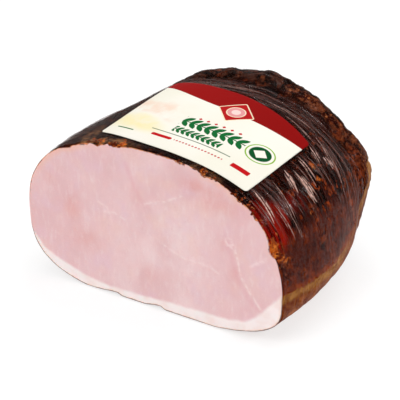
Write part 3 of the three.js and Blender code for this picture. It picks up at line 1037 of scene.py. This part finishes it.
# %% Finish of the film
def make_film_finish():
    r = Recipe("clear film")
    strand = r.streaks(2.3, 44, 2.5, 2.0, 0.6)
    ripple = r.bump(strand, 0.5, 0.5)
    through = r.node("BsdfTransparent", Color=(1, 1, 1, 1))
    # Grey-brown painted sheen, turning pale where the creases get a painted highlight.
    sheen_and_highlight_tone = r.mix(r.noted("pale"), (97, 48, 38), (218, 168, 150))
    haze_and_sheen = r.node("BsdfPrincipled", Base_Color=sheen_and_highlight_tone, Roughness=0.2, IOR=1.8, Normal=ripple)
    veiled = r.node("MixShader")
    # How much haze and painted sheen show, in strands, and then the painted highlight on the pale creases.
    share = r.times(r.noted("haze_and_sheen"), r.ramp(strand, 0.4, 0.66, 0.08, 1.4))
    share = r.plus(share, r.times(r.noted("pale"), r.ramp(strand, 0.4, 0.6, 0.3, 0.8)), clamp=True)
    # Seen nearly edge on, the film is no longer clear.
    flat = r.node("LayerWeight", Blend=0.5).outputs["Facing"]
    share = r.larger(share, r.times(r.ramp(flat, 0.87, 0.98), r.noted("skin")))
    r.feed(veiled.inputs[0], share)
    r.tree.links.new(through.outputs[0], veiled.inputs[1])
    r.tree.links.new(haze_and_sheen.outputs[0], veiled.inputs[2])
    gloss = r.node("BsdfAnisotropic", Color=(1, 0.88, 0.84, 1), Roughness=0.15, Normal=ripple)
    mirror = r.node("Fresnel", IOR=1.09, Normal=ripple).outputs[0]
    whole = r.node("MixShader")
    r.feed(whole.inputs[0], r.math("MINIMUM", mirror, 0.05))
    r.tree.links.new(veiled.outputs[0], whole.inputs[1])
    r.tree.links.new(gloss.outputs[0], whole.inputs[2])
    return r.finish(whole)


film_finish = make_film_finish()


# %% Build the film
FILM_AROUND = 320
FILM_CUT_RINGS = 14


def build_film():
    rim = RIM_RADIUS * (1 - np.cos(np.linspace(0, np.pi / 2, 4)[1:-1]))
    shares = ring_places(0.85, 44)
    shares = np.concatenate([rim / DEPTH, shares[shares * DEPTH >= RIM_RADIUS]])
    t, angle, form, y = ring_grid(FILM_AROUND, shares)
    tape = tape_at(angle)
    normal = ham_normal(t, angle)
    lift = film_lift(form, y, tape)
    inset = RIM_RADIUS - np.sqrt(np.maximum(RIM_RADIUS**2 - np.maximum(RIM_RADIUS - y, 0) ** 2, 0))
    skin = form + normal * (lift - inset)[..., None]
    skin[..., 1] = np.where(y < RIM_RADIUS, y, skin[..., 1])
    skin[..., 2] = np.maximum(skin[..., 2] + rind_steps(form), 0)
    edge = form[0] - normal[0] * RIM_RADIUS
    edge[..., 2] += rind_steps(edge)
    middle = np.array([CROWN_X, 0, CUT_HEIGHT / 2])
    share = ((np.arange(FILM_CUT_RINGS) + 1) / FILM_CUT_RINGS)[:, None, None]
    face = middle + (edge[None] - middle) * share
    face[..., 1] = 0
    face[..., 2] = np.maximum(face[..., 2], 0.2)
    rings = np.concatenate([face, skin])
    tip = np.array([skin[-1, :, 0].mean(), DEPTH, skin[-1, :, 2].mean()])
    film = close_rings("shrink_film", rings, tip, middle, [film_finish])
    return film, form, y, tape, len(face)


shrink_film, film_form, film_y, film_tape, cut_ring_count = build_film()


# %% Notes for the film
# Creases painted pale as a highlight: y, tape, reach in y and along the tape, strength.
PAINTED_HIGHLIGHTS = [(50, 95, 9, 14, 0.7), (62, 92, 5, 12, 0.45), (86, 98, 6, 12, 0.5), (100, 66, 8, 22, 0.25)]
PAINTED_HIGHLIGHTS += [(30, 84, 7, 8, 0.3), (11, 91, 5, 13, 0.5)]
film_stand = fold_height(film_y, film_tape)


# Haze of stretched and doubled film, and painted sheen: the film's reflection on crests, in bands and in
# patches.
def film_haze_and_sheen():
    crest = ease(film_stand, 0.3, 0.95)
    x, z = film_form[..., 0], film_form[..., 2]
    lower_right = ease(x, 70, 90) * (1 - ease(z, 66, 84)) * ease(z, 30, 40) * (1 - ease(film_y, 96, 120))
    left_crown = (1 - ease(x, -46, -30)) * ease(z, 66, 84) * (1 - ease(film_y, 60, 96))
    # Broad bands of painted sheen where the film is creased.
    bands = ease(stretched(film_y, film_tape, 9, 60, 7), 0.05, 0.5) * crease_strength(film_y, film_tape)
    low_end = 1 - 0.95 * ease(film_y, 98, 118) * ease(film_tape, 92, 116)
    haze_and_sheen = (0.02 + 0.5 * crest + 0.26 * bands) * low_end * (1 - 0.5 * ease(-film_tape, 30, 60))
    # Painted reflection on the lower right and the left crown, and two painted sheen patches down the right
    # side.
    haze_and_sheen += 0.022 * lower_right + 0.03 * left_crown
    haze_and_sheen += 0.16 * bell(film_y, 95, 9) * bell(film_tape, 100, 15)
    haze_and_sheen += 0.1 * bell(film_y, 78, 8) * bell(film_tape, 119, 9)
    return haze_and_sheen * ease(z, 6, 24) * ease(film_y, 0, 3)


# Pale: the painted highlight on tall creases in the zones above, away from the label.
def film_painted_highlight():
    zones = [k * bell(film_y, y, wide) * bell(film_tape, tape, long) for y, tape, wide, long, k in PAINTED_HIGHLIGHTS]
    return np.max(zones, axis=0) * ease(film_stand, 0.4, 0.9) * ease(outside_label(film_y, film_tape), 0, 3)


def film_note(name, values, on_cut=0.0, at_tip=0.0):
    cut = np.full(1 + cut_ring_count * FILM_AROUND, on_cut)
    note_on(shrink_film, name, np.concatenate([cut, values.ravel(), [at_tip]]))


film_note("haze_and_sheen", film_haze_and_sheen())
film_note("pale", film_painted_highlight())
upright = ease(film_y, 2, 12) * (1 - ease(film_y, 104, 132)) * ease(film_form[..., 2], 20, 40)
film_note("skin", 0.75 * upright)
film_note("along_mm", film_y, at_tip=DEPTH)
film_note("tape_mm", film_tape)
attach(shrink_film, "root")
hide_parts("ham")


# %% [markdown]
# The tallest folds are so tight that the film is doubled in them. They show as thin pale lines, and their
# pale colour is also a painted highlight, the bright line that the lights draw on a tight fold. Geometry
# Nodes turn a line drawn along each fold's crest into a slim tapered cord: the line's points carry their own
# thickness, and the tree sweeps a small round profile along it.

# %% Finish of the tight folds
def make_pleat_finish():
    r = Recipe("doubled film")
    through = r.node("BsdfTransparent", Color=(1, 1, 1, 1))
    # Pale where the fold's paleness paints a highlight on the doubled film.
    tone = r.mix(r.noted("pale"), (138, 96, 86), (224, 182, 168))
    pale = r.surface(Base_Color=tone, Roughness=0.2)
    both = r.node("MixShader")
    # How much of the pale painted colour shows, in broken patches.
    clouds = r.ramp(r.spots(3, 3, rough=0.7), 0.36, 0.6, 0.25, 1.2)
    share = r.times(clouds, r.ramp(r.noted("pale"), 0.0, 0.8, 0.34, 0.85))
    r.feed(both.inputs[0], share)
    r.tree.links.new(through.outputs[0], both.inputs[1])
    r.tree.links.new(pale.outputs[0], both.inputs[2])
    return r.finish(both)


pleat_finish = make_pleat_finish()


# %% A tree that sweeps a cord along each line
def new_tree(name, **numbers):
    """A tree that takes a geometry and some named numbers, and gives a geometry."""
    tree = bpy.data.node_groups.new(name, "GeometryNodeTree")
    face = tree.interface
    face.new_socket("Geometry", in_out="INPUT", socket_type="NodeSocketGeometry")
    for key, value in numbers.items():
        kind = "NodeSocketInt" if isinstance(value, int) else "NodeSocketFloat"
        face.new_socket(key, in_out="INPUT", socket_type=kind).default_value = value
    face.new_socket("Geometry", in_out="OUTPUT", socket_type="NodeSocketGeometry")
    return tree


def new_nodes(tree, **kinds):
    return {name: tree.nodes.new(kind) for name, kind in kinds.items()}


def wire(tree, nodes, links):
    """Each line of links: a node and its output, then a node and its input."""
    for source, out, target, into in links:
        tree.links.new(nodes[source].outputs[out], nodes[target].inputs[into])


def preset(node, **values):
    for name, value in values.items():
        node.inputs[name].default_value = value


def read_note(node, name):
    node.data_type = "FLOAT"
    preset(node, Name=name)


def sweep_tree():
    tree = new_tree("tight folds", Thickness=0.001, Sides=6)
    nodes = new_nodes(
        tree,
        given="NodeGroupInput",
        made="NodeGroupOutput",
        curve="GeometryNodeMeshToCurve",
        profile="GeometryNodeCurvePrimitiveCircle",
        sweep="GeometryNodeCurveToMesh",
        slim="GeometryNodeInputNamedAttribute",
        real="GeometryNodeRealizeInstances",
        coat="GeometryNodeSetMaterial",
        smooth="GeometryNodeSetShadeSmooth",
    )
    read_note(nodes["slim"], "slim")
    preset(nodes["coat"], Material=pleat_finish)
    nodes["sweep"].inputs["Fill Caps"].default_value = True
    wire(
        tree,
        nodes,
        [
            ("given", "Geometry", "curve", "Mesh"),
            ("given", "Sides", "profile", "Resolution"),
            ("given", "Thickness", "profile", "Radius"),
            ("curve", "Curve", "sweep", "Curve"),
            ("profile", "Curve", "sweep", "Profile Curve"),
            ("slim", "Attribute", "sweep", "Scale"),
            ("sweep", "Mesh", "smooth", "Geometry"),
            ("smooth", "Geometry", "real", "Geometry"),
            ("real", "Geometry", "coat", "Geometry"),
            ("coat", "Geometry", "made", "Geometry"),
        ],
    )
    return tree


def set_input(modifier, name, value):
    for item in modifier.node_group.interface.items_tree:
        if item.item_type == "SOCKET" and item.in_out == "INPUT" and item.name == name:
            modifier[item.identifier] = value


def grown(source, tree, name, **inputs):
    """Runs a tree on a source object and keeps the result as a plain mesh object."""
    modifier = source.modifiers.new("tree", "NODES")
    modifier.node_group = tree
    for key, value in inputs.items():
        set_input(modifier, key, value)
    bpy.context.view_layer.update()
    ready = source.evaluated_get(bpy.context.evaluated_depsgraph_get())
    mesh = bpy.data.meshes.new_from_object(ready)
    source.modifiers.remove(modifier)
    thing = put(name, mesh)
    print(name, "has", len(mesh.polygons), "faces")
    return thing


# %% Draw the crests and sweep them
TALL_FOLD = 0.5  # folds above this height are doubled film
LAST_PLEAT_Y = 117
PLEAT_SHARE = 0.8  # the share of a fold's length that its pleat takes


def crest_lines():
    tall = [fold for fold in folds if fold.height > TALL_FOLD and fold.y < LAST_PLEAT_Y]
    points, edges, slim, pale = [], [], [], []
    for fold in tall:
        steps = max(int(fold.half * 1.1), 10)
        k = np.linspace(-PLEAT_SHARE, PLEAT_SHARE, steps)
        y, tape = fold_line(fold, k)
        t, angle = y / DEPTH, angle_at(tape)
        form = ham_form(t, angle)
        if outside_label(y, tape).min() < 0.2 or form[:, 2].min() < 14:
            continue
        lift = film_lift(form, y, tape)
        line = form + ham_normal(t, angle) * lift[:, None]
        first = len(points)
        points += (line + TO_FRAME).tolist()
        edges += [(first + i, first + i + 1) for i in range(steps - 1)]
        thick = 0.06 + 0.2 * fold.height + 0.2 * fold.pale
        ragged = 1 + 0.45 * uneven(np.stack([y, tape, 0 * y], -1), 4, 52)
        slim += ((1 - (k / PLEAT_SHARE) ** 2) ** 0.7 * thick * ragged).tolist()
        pale += [fold.pale] * steps
    mesh = bpy.data.meshes.new("crests")
    mesh.from_pydata((np.array(points) * MM).tolist(), edges, [])
    source = put("crests", mesh)
    note_on(source, "slim", slim)
    note_on(source, "pale", pale)
    return source


crests = crest_lines()
film_pleats = grown(crests, sweep_tree(), "film_pleats", Thickness=1.0 * MM, Sides=6)
bpy.data.objects.remove(crests)
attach(film_pleats, "root")


# %% [markdown]
# Crumbs of dried crust stick out where the knife tore the edge, and on the rough far end. There are about
# two hundred, so Geometry Nodes scatter them: points fall on the crust as densely as a note on the mesh says,
# each gets a small rounded lump, turned along the surface and sized at random, and the lumps are made real.

# %% Finish of the crumbs
def make_crumb_finish():
    r = Recipe("crust crumbs")
    tone = r.dapple((78, 27, 12), (146, 66, 30), r.spots(4, 2), 0.42, 0.6)
    tone = r.dapple(tone, (196, 118, 74), r.spots(2.5, 2, shift=(4, 4, 4)), 0.6, 0.7)
    parts = r.node("SeparateXYZ", Vector=r.place)
    tone = r.dapple(tone, (46, 18, 9), parts.outputs[1], -0.07, 0.0, 0.9)
    return r.finish(r.surface(Base_Color=tone, Roughness=0.55, Specular_IOR_Level=0.0))


crumb_finish = make_crumb_finish()


# %% A tree that scatters lumps
def scatter_tree():
    tree = new_tree("crumbs", Density=1.0, Smallest=0.5, Largest=1.2, Size=0.001, Seed=0)
    nodes = new_nodes(
        tree,
        given="NodeGroupInput",
        made="NodeGroupOutput",
        spread="GeometryNodeDistributePointsOnFaces",
        where="GeometryNodeInputNamedAttribute",
        density="ShaderNodeMath",
        lump="GeometryNodeMeshUVSphere",
        shape="GeometryNodeTransform",
        size="FunctionNodeRandomValue",
        turn="FunctionNodeRandomValue",
        spin="ShaderNodeCombineXYZ",
        turned="FunctionNodeRotateRotation",
        stand="GeometryNodeInstanceOnPoints",
        real="GeometryNodeRealizeInstances",
        smooth="GeometryNodeSetShadeSmooth",
        coat="GeometryNodeSetMaterial",
    )
    read_note(nodes["where"], "crumbs")
    nodes["density"].operation = "MULTIPLY"
    preset(nodes["lump"], Segments=7, Rings=5)
    preset(nodes["shape"], Scale=(1.5, 0.9, 0.5))
    nodes["size"].data_type = nodes["turn"].data_type = "FLOAT"
    nodes["turn"].inputs[3].default_value = 2 * math.pi
    nodes["turned"].rotation_space = "LOCAL"
    preset(nodes["coat"], Material=crumb_finish)
    wire(
        tree,
        nodes,
        [
            ("given", "Geometry", "spread", "Mesh"),
            ("given", "Density", "density", 0),
            ("where", "Attribute", "density", 1),
            ("density", 0, "spread", "Density"),
            ("given", "Seed", "spread", "Seed"),
            ("given", "Size", "lump", "Radius"),
            ("lump", "Mesh", "shape", "Geometry"),
            ("given", "Smallest", "size", 2),
            ("given", "Largest", "size", 3),
            ("given", "Seed", "size", "Seed"),
            ("turn", 1, "spin", "Z"),
            ("spread", "Rotation", "turned", "Rotation"),
            ("spin", 0, "turned", "Rotate By"),
            ("spread", "Points", "stand", "Points"),
            ("shape", "Geometry", "stand", "Instance"),
            ("turned", "Rotation", "stand", "Rotation"),
            ("size", 1, "stand", "Scale"),
            ("stand", "Instances", "real", "Geometry"),
            ("real", "Geometry", "smooth", "Geometry"),
            ("smooth", "Geometry", "coat", "Geometry"),
            ("coat", "Geometry", "made", "Geometry"),
        ],
    )
    return tree


# %% Scatter the crumbs
def crumb_places():
    p = meat_points
    x, y, z = p.T
    outside = np.arange(len(p)) > MEAT_AROUND * CUT_RING_COUNT
    top_edge = (1 - ease(y, 2, 9)) * ease(z, 84, 96)
    side_edge = (1 - ease(y, 2, 7)) * ease(x, 50, 66) * ease(z, 52, 62)
    clumps = ease(rough_edge(p) + 0.4 * uneven(p, 6, 41), 0.3, 0.7)
    rough_end = 0.14 * ease(y, 124, 134) * ease(uneven(p, 15, 42), 0.0, 0.4) * ease(z, 20, 40)
    torn = 0.45 * np.clip(hollows(p, TEARS[:2]), 0, 1)
    return outside * np.clip(np.maximum(top_edge, side_edge) * clumps + rough_end + torn, 0, 1) * (y < 190)


note_on(ham_meat, "crumbs", crumb_places())
crust_crumbs = grown(
    ham_meat,
    scatter_tree(),
    "crust_crumbs",
    Density=180000.0,
    Smallest=0.45,
    Largest=1.2,
    Size=0.9 * MM,
    Seed=3,
)
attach(crust_crumbs, "root")


# %% [markdown]
# The label is printed paper in soft satin. Its ground is cream, a dark red band with an arched edge closes
# it at the back, and a plain pattern fills the rest: two leaf sprigs, rows of small diamonds, a thin rule, a
# few bars, a ringed disc, a diamond plaque and a soft wash of meadow colours. The print is drawn in the
# finish from the label's own millimetres, which the mesh keeps as a UV map.

# %% Finish of the label
EIGHTH_TURN = 0.785


def make_label_finish():
    r = Recipe("label print")
    print_map = r.node("UVMap", {"uv_map": "print"}).outputs[0]
    parts = r.node("SeparateXYZ", Vector=print_map)
    aside = r.times(parts.outputs[0], 100.0)
    back = r.times(parts.outputs[1], 100.0)
    into_band = r.noted("band_mm")

    def box(x, y, half_wide, half_deep, corner=0.0, turn=0.0):
        """1 inside a rounded box round a middle, in the label's millimetres."""
        dx, dy = r.minus(aside, x), r.minus(back, y)
        if turn:
            c, s = math.cos(turn), math.sin(turn)
            dx, dy = (
                r.plus(r.times(dx, c), r.times(dy, s)),
                r.minus(r.times(dy, c), r.times(dx, s)),
            )
        over_x = r.larger(r.minus(r.size(dx), half_wide - corner), 0.0)
        over_y = r.larger(r.minus(r.size(dy), half_deep - corner), 0.0)
        away = r.math("SQRT", r.plus(r.times(over_x, over_x), r.times(over_y, over_y)))
        return r.ramp(away, corner - 0.1, corner + 0.25, 1, 0)

    ground = r.dapple((241, 237, 226), (237, 233, 218), r.spots(40, 1), 0.3, 0.7)
    # A soft wash of meadow and sky at the left end.
    hill = r.plus(31.0, r.times(r.math("SINE", r.times(aside, 0.11)), 4.0))
    left = r.ramp(aside, -10.0, -34.0, 0, 1)
    meadow = r.times(r.ramp(r.minus(back, hill), 3.0, -5.0, 0, 1), r.ramp(back, 8.0, 20.0))
    washed = r.ramp(r.spots(9, 3), 0.2, 0.7, 0.35, 0.9)
    tone = r.mix(r.times(r.times(left, meadow), washed), ground, (242, 228, 172))
    sky = r.times(r.ramp(r.minus(back, hill), 0.0, 6.0), r.ramp(back, 62.0, 46.0, 0, 1))
    washed = r.ramp(r.spots(11, 3), 0.32, 0.66, 0, 0.75)
    tone = r.mix(r.times(r.times(left, sky), washed), tone, (238, 206, 184))
    green, deep_green, red = (14, 100, 46), (8, 78, 36), (190, 14, 22)

    def leaf(across_leaf, along_leaf, half_long, half_wide):
        """1 inside a pointed leaf, from the distances along and across it."""
        long = r.over(r.times(along_leaf, along_leaf), half_long**2)
        rim = r.plus(long, r.over(r.size(across_leaf), half_wide))
        return r.ramp(rim, 0.9, 1.08, 1, 0)

    def sprig(x, y, half_long, turn, pitch, leaf_long, leaf_wide, stem, fill, over):
        """A straight stem with pairs of pointed leaves, one pair each pitch, laid over a tone."""
        c, s = math.cos(turn), math.sin(turn)
        dx, dy = r.minus(aside, x), r.minus(back, y)
        along = r.plus(r.times(dx, c), r.times(dy, s))
        off = r.size(r.minus(r.times(dy, c), r.times(dx, s)))
        cell = r.times(r.minus(r.math("FRACT", r.over(along, pitch)), 0.5), pitch)
        out = r.minus(off, leaf_long * 0.62)
        along_leaf = r.times(r.plus(cell, out), 0.7071)
        across_leaf = r.times(r.minus(out, cell), 0.7071)
        here = r.ramp(r.size(along), half_long, half_long + 0.3, 1, 0)
        over = r.mix(r.times(r.ramp(off, stem, stem + 0.3, 1, 0), here), over, fill)
        return r.mix(r.times(leaf(across_leaf, along_leaf, leaf_long, leaf_wide), here), over, fill)

    def row_of_dots(x, y, half_long, pitch, size, fill, over):
        """A row of small diamonds, one each pitch, laid over a tone."""
        dx, dy = r.minus(aside, x), r.minus(back, y)
        cell = r.times(r.minus(r.math("FRACT", r.over(dx, pitch)), 0.5), pitch)
        rim = r.plus(r.size(cell), r.size(dy))
        here = r.ramp(r.size(dx), half_long, half_long + 0.1, 1, 0)
        return r.mix(r.times(r.ramp(rim, size - 0.15, size + 0.2, 1, 0), here), over, fill)

    # A long sprig and a short one, with berries between their leaves.
    tone = sprig(9, 38, 24.0, -0.04, 6.0, 4.6, 1.9, 0.35, green, tone)
    tone = row_of_dots(9, 45.8, 18.0, 6.0, 1.3, red, tone)
    tone = sprig(4, 26.5, 18.0, -0.04, 4.0, 3.0, 1.2, 0.3, green, tone)
    tone = r.mix(box(3, 20.0, 30, 0.35), tone, deep_green)
    tone = row_of_dots(13, 14.2, 18.0, 2.4, 0.9, red, tone)
    # Bars and a tag, and a lime ring round a dark green field with a pale diamond. Each row gives a box's
    # middle, half sizes, corner and turn.
    for shape, fill in (
        ((-15, 14.2, 8.0, 1.5, 1.4), red),
        ((-44, 11.5, 7.0, 0.5, 0.4), green),
        ((44, 37, 9.6, 9.6, 9.6), (132, 178, 44)),
        ((44, 37, 8.7, 8.7, 8.7), ground),
        ((44, 37, 7.0, 7.0, 7.0), deep_green),
        ((44, 37, 3.4, 3.4, 0.3, EIGHTH_TURN), ground),
        ((44, 14.5, 6.4, 2.0, 0.5), red),
    ):
        tone = r.mix(box(*shape), tone, fill)
    shade = r.dapple((148, 7, 6), (136, 6, 5), aside, -50.0, 55.0)
    tone = r.mix(r.ramp(into_band, -0.1, 0.25), tone, shade)
    # A diamond plaque with a pale round field in it. Each row gives half size, corner and turn.
    cream = (240, 222, 190)
    for half, corner, turn, fill in (
        (9.6, 1.2, EIGHTH_TURN, cream),
        (8.8, 0.8, EIGHTH_TURN, (176, 20, 24)),
        (6.4, 6.4, 0, cream),
        (5.7, 5.7, 0, (222, 150, 150)),
        (3.0, 3.0, 0, (240, 208, 202)),
    ):
        tone = r.mix(box(8, 66, half, half, corner, turn), tone, fill)
    paper = r.surface(
        Base_Color=tone,
        Roughness=0.6,
        Normal=r.bump(r.spots(0.8, 2), 0.05, 0.3),
        Specular_IOR_Level=0.04,
    )
    return r.finish(paper)


label_finish = make_label_finish()


# %% Build the label
LABEL_ACROSS = 150
LABEL_ALONG = 120


def label_places():
    across = np.linspace(-1, 1, LABEL_ACROSS + 1)[None, :]
    along = np.linspace(0, 1, LABEL_ALONG + 1)[:, None]
    depth = along * label_depth(across)
    from_corner = np.maximum(LABEL["corner"] - np.minimum(depth, label_depth(across) - depth), 0)
    corner_inset = LABEL["corner"] - np.sqrt(np.maximum(LABEL["corner"] ** 2 - from_corner**2, 0))
    aside = across * (LABEL["width"] / 2 - corner_inset)
    y = LABEL["front y"] + depth + LABEL["bow"] * across**2 + LABEL["skew"] * aside
    return aside, depth, y, aside + label_spread(across, depth)


def build_label():
    aside, depth, y, distance = label_places()
    angle = np.array([[hoop_angle(yy, dd) for yy, dd in zip(*row)] for row in zip(y, distance)])
    t = y / DEPTH
    form = ham_form(t, angle)
    normal = ham_normal(t, angle)
    wave = 0.12 * uneven(form, 16, 30)
    sides = [form + normal * (LABEL_GAP + wave + up)[..., None] for up in (0.0, LABEL_THICKNESS)]
    points = np.concatenate([s.reshape(-1, 3) for s in sides]) + TO_FRAME
    rows, columns = angle.shape
    index = np.arange(rows * columns).reshape(rows, columns)
    a, b, c, d = index[:-1, :-1], index[:-1, 1:], index[1:, 1:], index[1:, :-1]
    top = np.stack([a, b, c, d], -1).reshape(-1, 4) + rows * columns
    under = np.stack([a, d, c, b], -1).reshape(-1, 4)
    loop = np.concatenate([index[0, :-1], index[:-1, -1], index[-1, :0:-1], index[:0:-1, 0]])
    after = np.roll(loop, -1)
    wall = np.stack([loop, after, after + rows * columns, loop + rows * columns], -1)
    mesh = bpy.data.meshes.new("label_sheet")
    mesh.from_pydata((points * MM).tolist(), [], np.concatenate([top, under, wall]).tolist())
    mesh.materials.append(label_finish)
    mesh.shade_smooth()
    uv = mesh.uv_layers.new(name="print")
    corner = np.zeros(len(mesh.loops), int)
    mesh.loops.foreach_get("vertex_index", corner)
    flat = np.stack([np.broadcast_to(aside, angle.shape).ravel(), depth.ravel()], -1) / 100
    uv.data.foreach_set("uv", np.concatenate([flat, flat])[corner].astype(np.float32).ravel())
    sheet = put("label_sheet", mesh)
    across = np.broadcast_to(np.linspace(-1, 1, LABEL_ACROSS + 1)[None, :], angle.shape)
    band = depth - cream_depth(across)
    note_on(sheet, "band_mm", np.concatenate([band.ravel(), band.ravel()]))
    print("label has", len(mesh.polygons), "faces")
    return sheet


label_sheet = build_label()
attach(label_sheet, "root")
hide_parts("label")


# %% [markdown]
# The floor is plain and pale, and the light is a soft studio: a bright room, one broad light from the front,
# above and a little to the left, for the cut face, and two long narrow lights above and to the right, which
# draw bright lines on the film's folds, where pale highlights are also painted.

# %% Floor and room
FLOOR_REACH = 6.0
FLOOR_DROP = 0.0002  # the floor lies a hair below the ham, so that the two don't flicker
FLOOR_TONE = (0.36, 0.36, 0.36, 1)
FLOOR_GLOW = 0.7
ROOM_GLOW = 0.55


def make_floor():
    mesh = bpy.data.meshes.new("floor")
    corners = [(x * FLOOR_REACH, y * FLOOR_REACH, 0) for x, y in ((-1, -1), (1, -1), (1, 1), (-1, 1))]
    mesh.from_pydata(corners, [], [(0, 1, 2, 3)])
    floor = put("floor", mesh)
    r = Recipe("pale floor")
    white = r.surface(Base_Color=FLOOR_TONE, Roughness=0.7, Emission_Color=(1, 1, 1, 1))
    white.inputs["Emission Strength"].default_value = FLOOR_GLOW
    mesh.materials.append(r.finish(white))
    floor.location.z = -FLOOR_DROP
    return floor


make_floor()
world = bpy.data.worlds.new("room")
bpy.context.scene.world = world
world.use_nodes = True
preset(world.node_tree.nodes["Background"], Color=(1, 1, 1, 1), Strength=ROOM_GLOW)
bpy.context.scene.view_settings.view_transform = "Standard"


# %% Lights
SUN_POWER = 0.98
SUN_SPREAD = math.radians(35)
SUN_FROM = (-0.3, -0.68, 0.67)


def soft_light(name, where, towards, size, power):
    data = bpy.data.lights.new(name, "AREA")
    data.shape = "RECTANGLE"
    data.size, data.size_y = size
    data.energy = power
    light = put(name, data)
    light.location = where
    aim = light.location - Vector(towards)
    light.rotation_mode = "QUATERNION"
    light.rotation_quaternion = aim.to_track_quat("Z", "Y")
    return light


soft_light("strip overhead", (0.05, 0.27, 1.0), (0, 0, 0.08), (1.1, 0.07), 3.4)
soft_light("strip right", (0.95, 0.3, 0.75), (0.08, 0, 0.08), (0.7, 0.06), 3.0)
sun = bpy.data.lights.new("broad front light", "SUN")
sun.energy = SUN_POWER
sun.angle = SUN_SPREAD
sun_thing = put("broad front light", sun)
sun_thing.rotation_mode = "QUATERNION"
sun_thing.rotation_quaternion = Vector(SUN_FROM).to_track_quat("Z", "Y")


# %% [markdown]
# The camera stands where the photographer's did: to the right of the cut's middle, looking down at the ham.
# Its place was found by matching the ham's outline.

# %% Camera
VIEW_AZIMUTH = math.radians(32.554)
VIEW_ELEVATION = math.radians(24.571)
VIEW_DISTANCE = 752.92
VIEW_TARGET = np.array([0.4, 60, 53.685])
VIEW_LENS = 100


def place_camera():
    back = np.array(
        [
            math.sin(VIEW_AZIMUTH) * math.cos(VIEW_ELEVATION),
            -math.cos(VIEW_AZIMUTH) * math.cos(VIEW_ELEVATION),
            math.sin(VIEW_ELEVATION),
        ]
    )
    data = bpy.data.cameras.new("camera")
    data.lens = VIEW_LENS
    data.sensor_width = 36
    data.clip_start, data.clip_end = 0.01, 50
    camera = put("camera", data)
    camera.location = ((VIEW_TARGET + TO_FRAME + back * VIEW_DISTANCE) * MM).tolist()
    camera.rotation_mode = "QUATERNION"
    camera.rotation_quaternion = (-Vector(back.tolist())).to_track_quat("-Z", "Y")
    bpy.context.scene.camera = camera


place_camera()
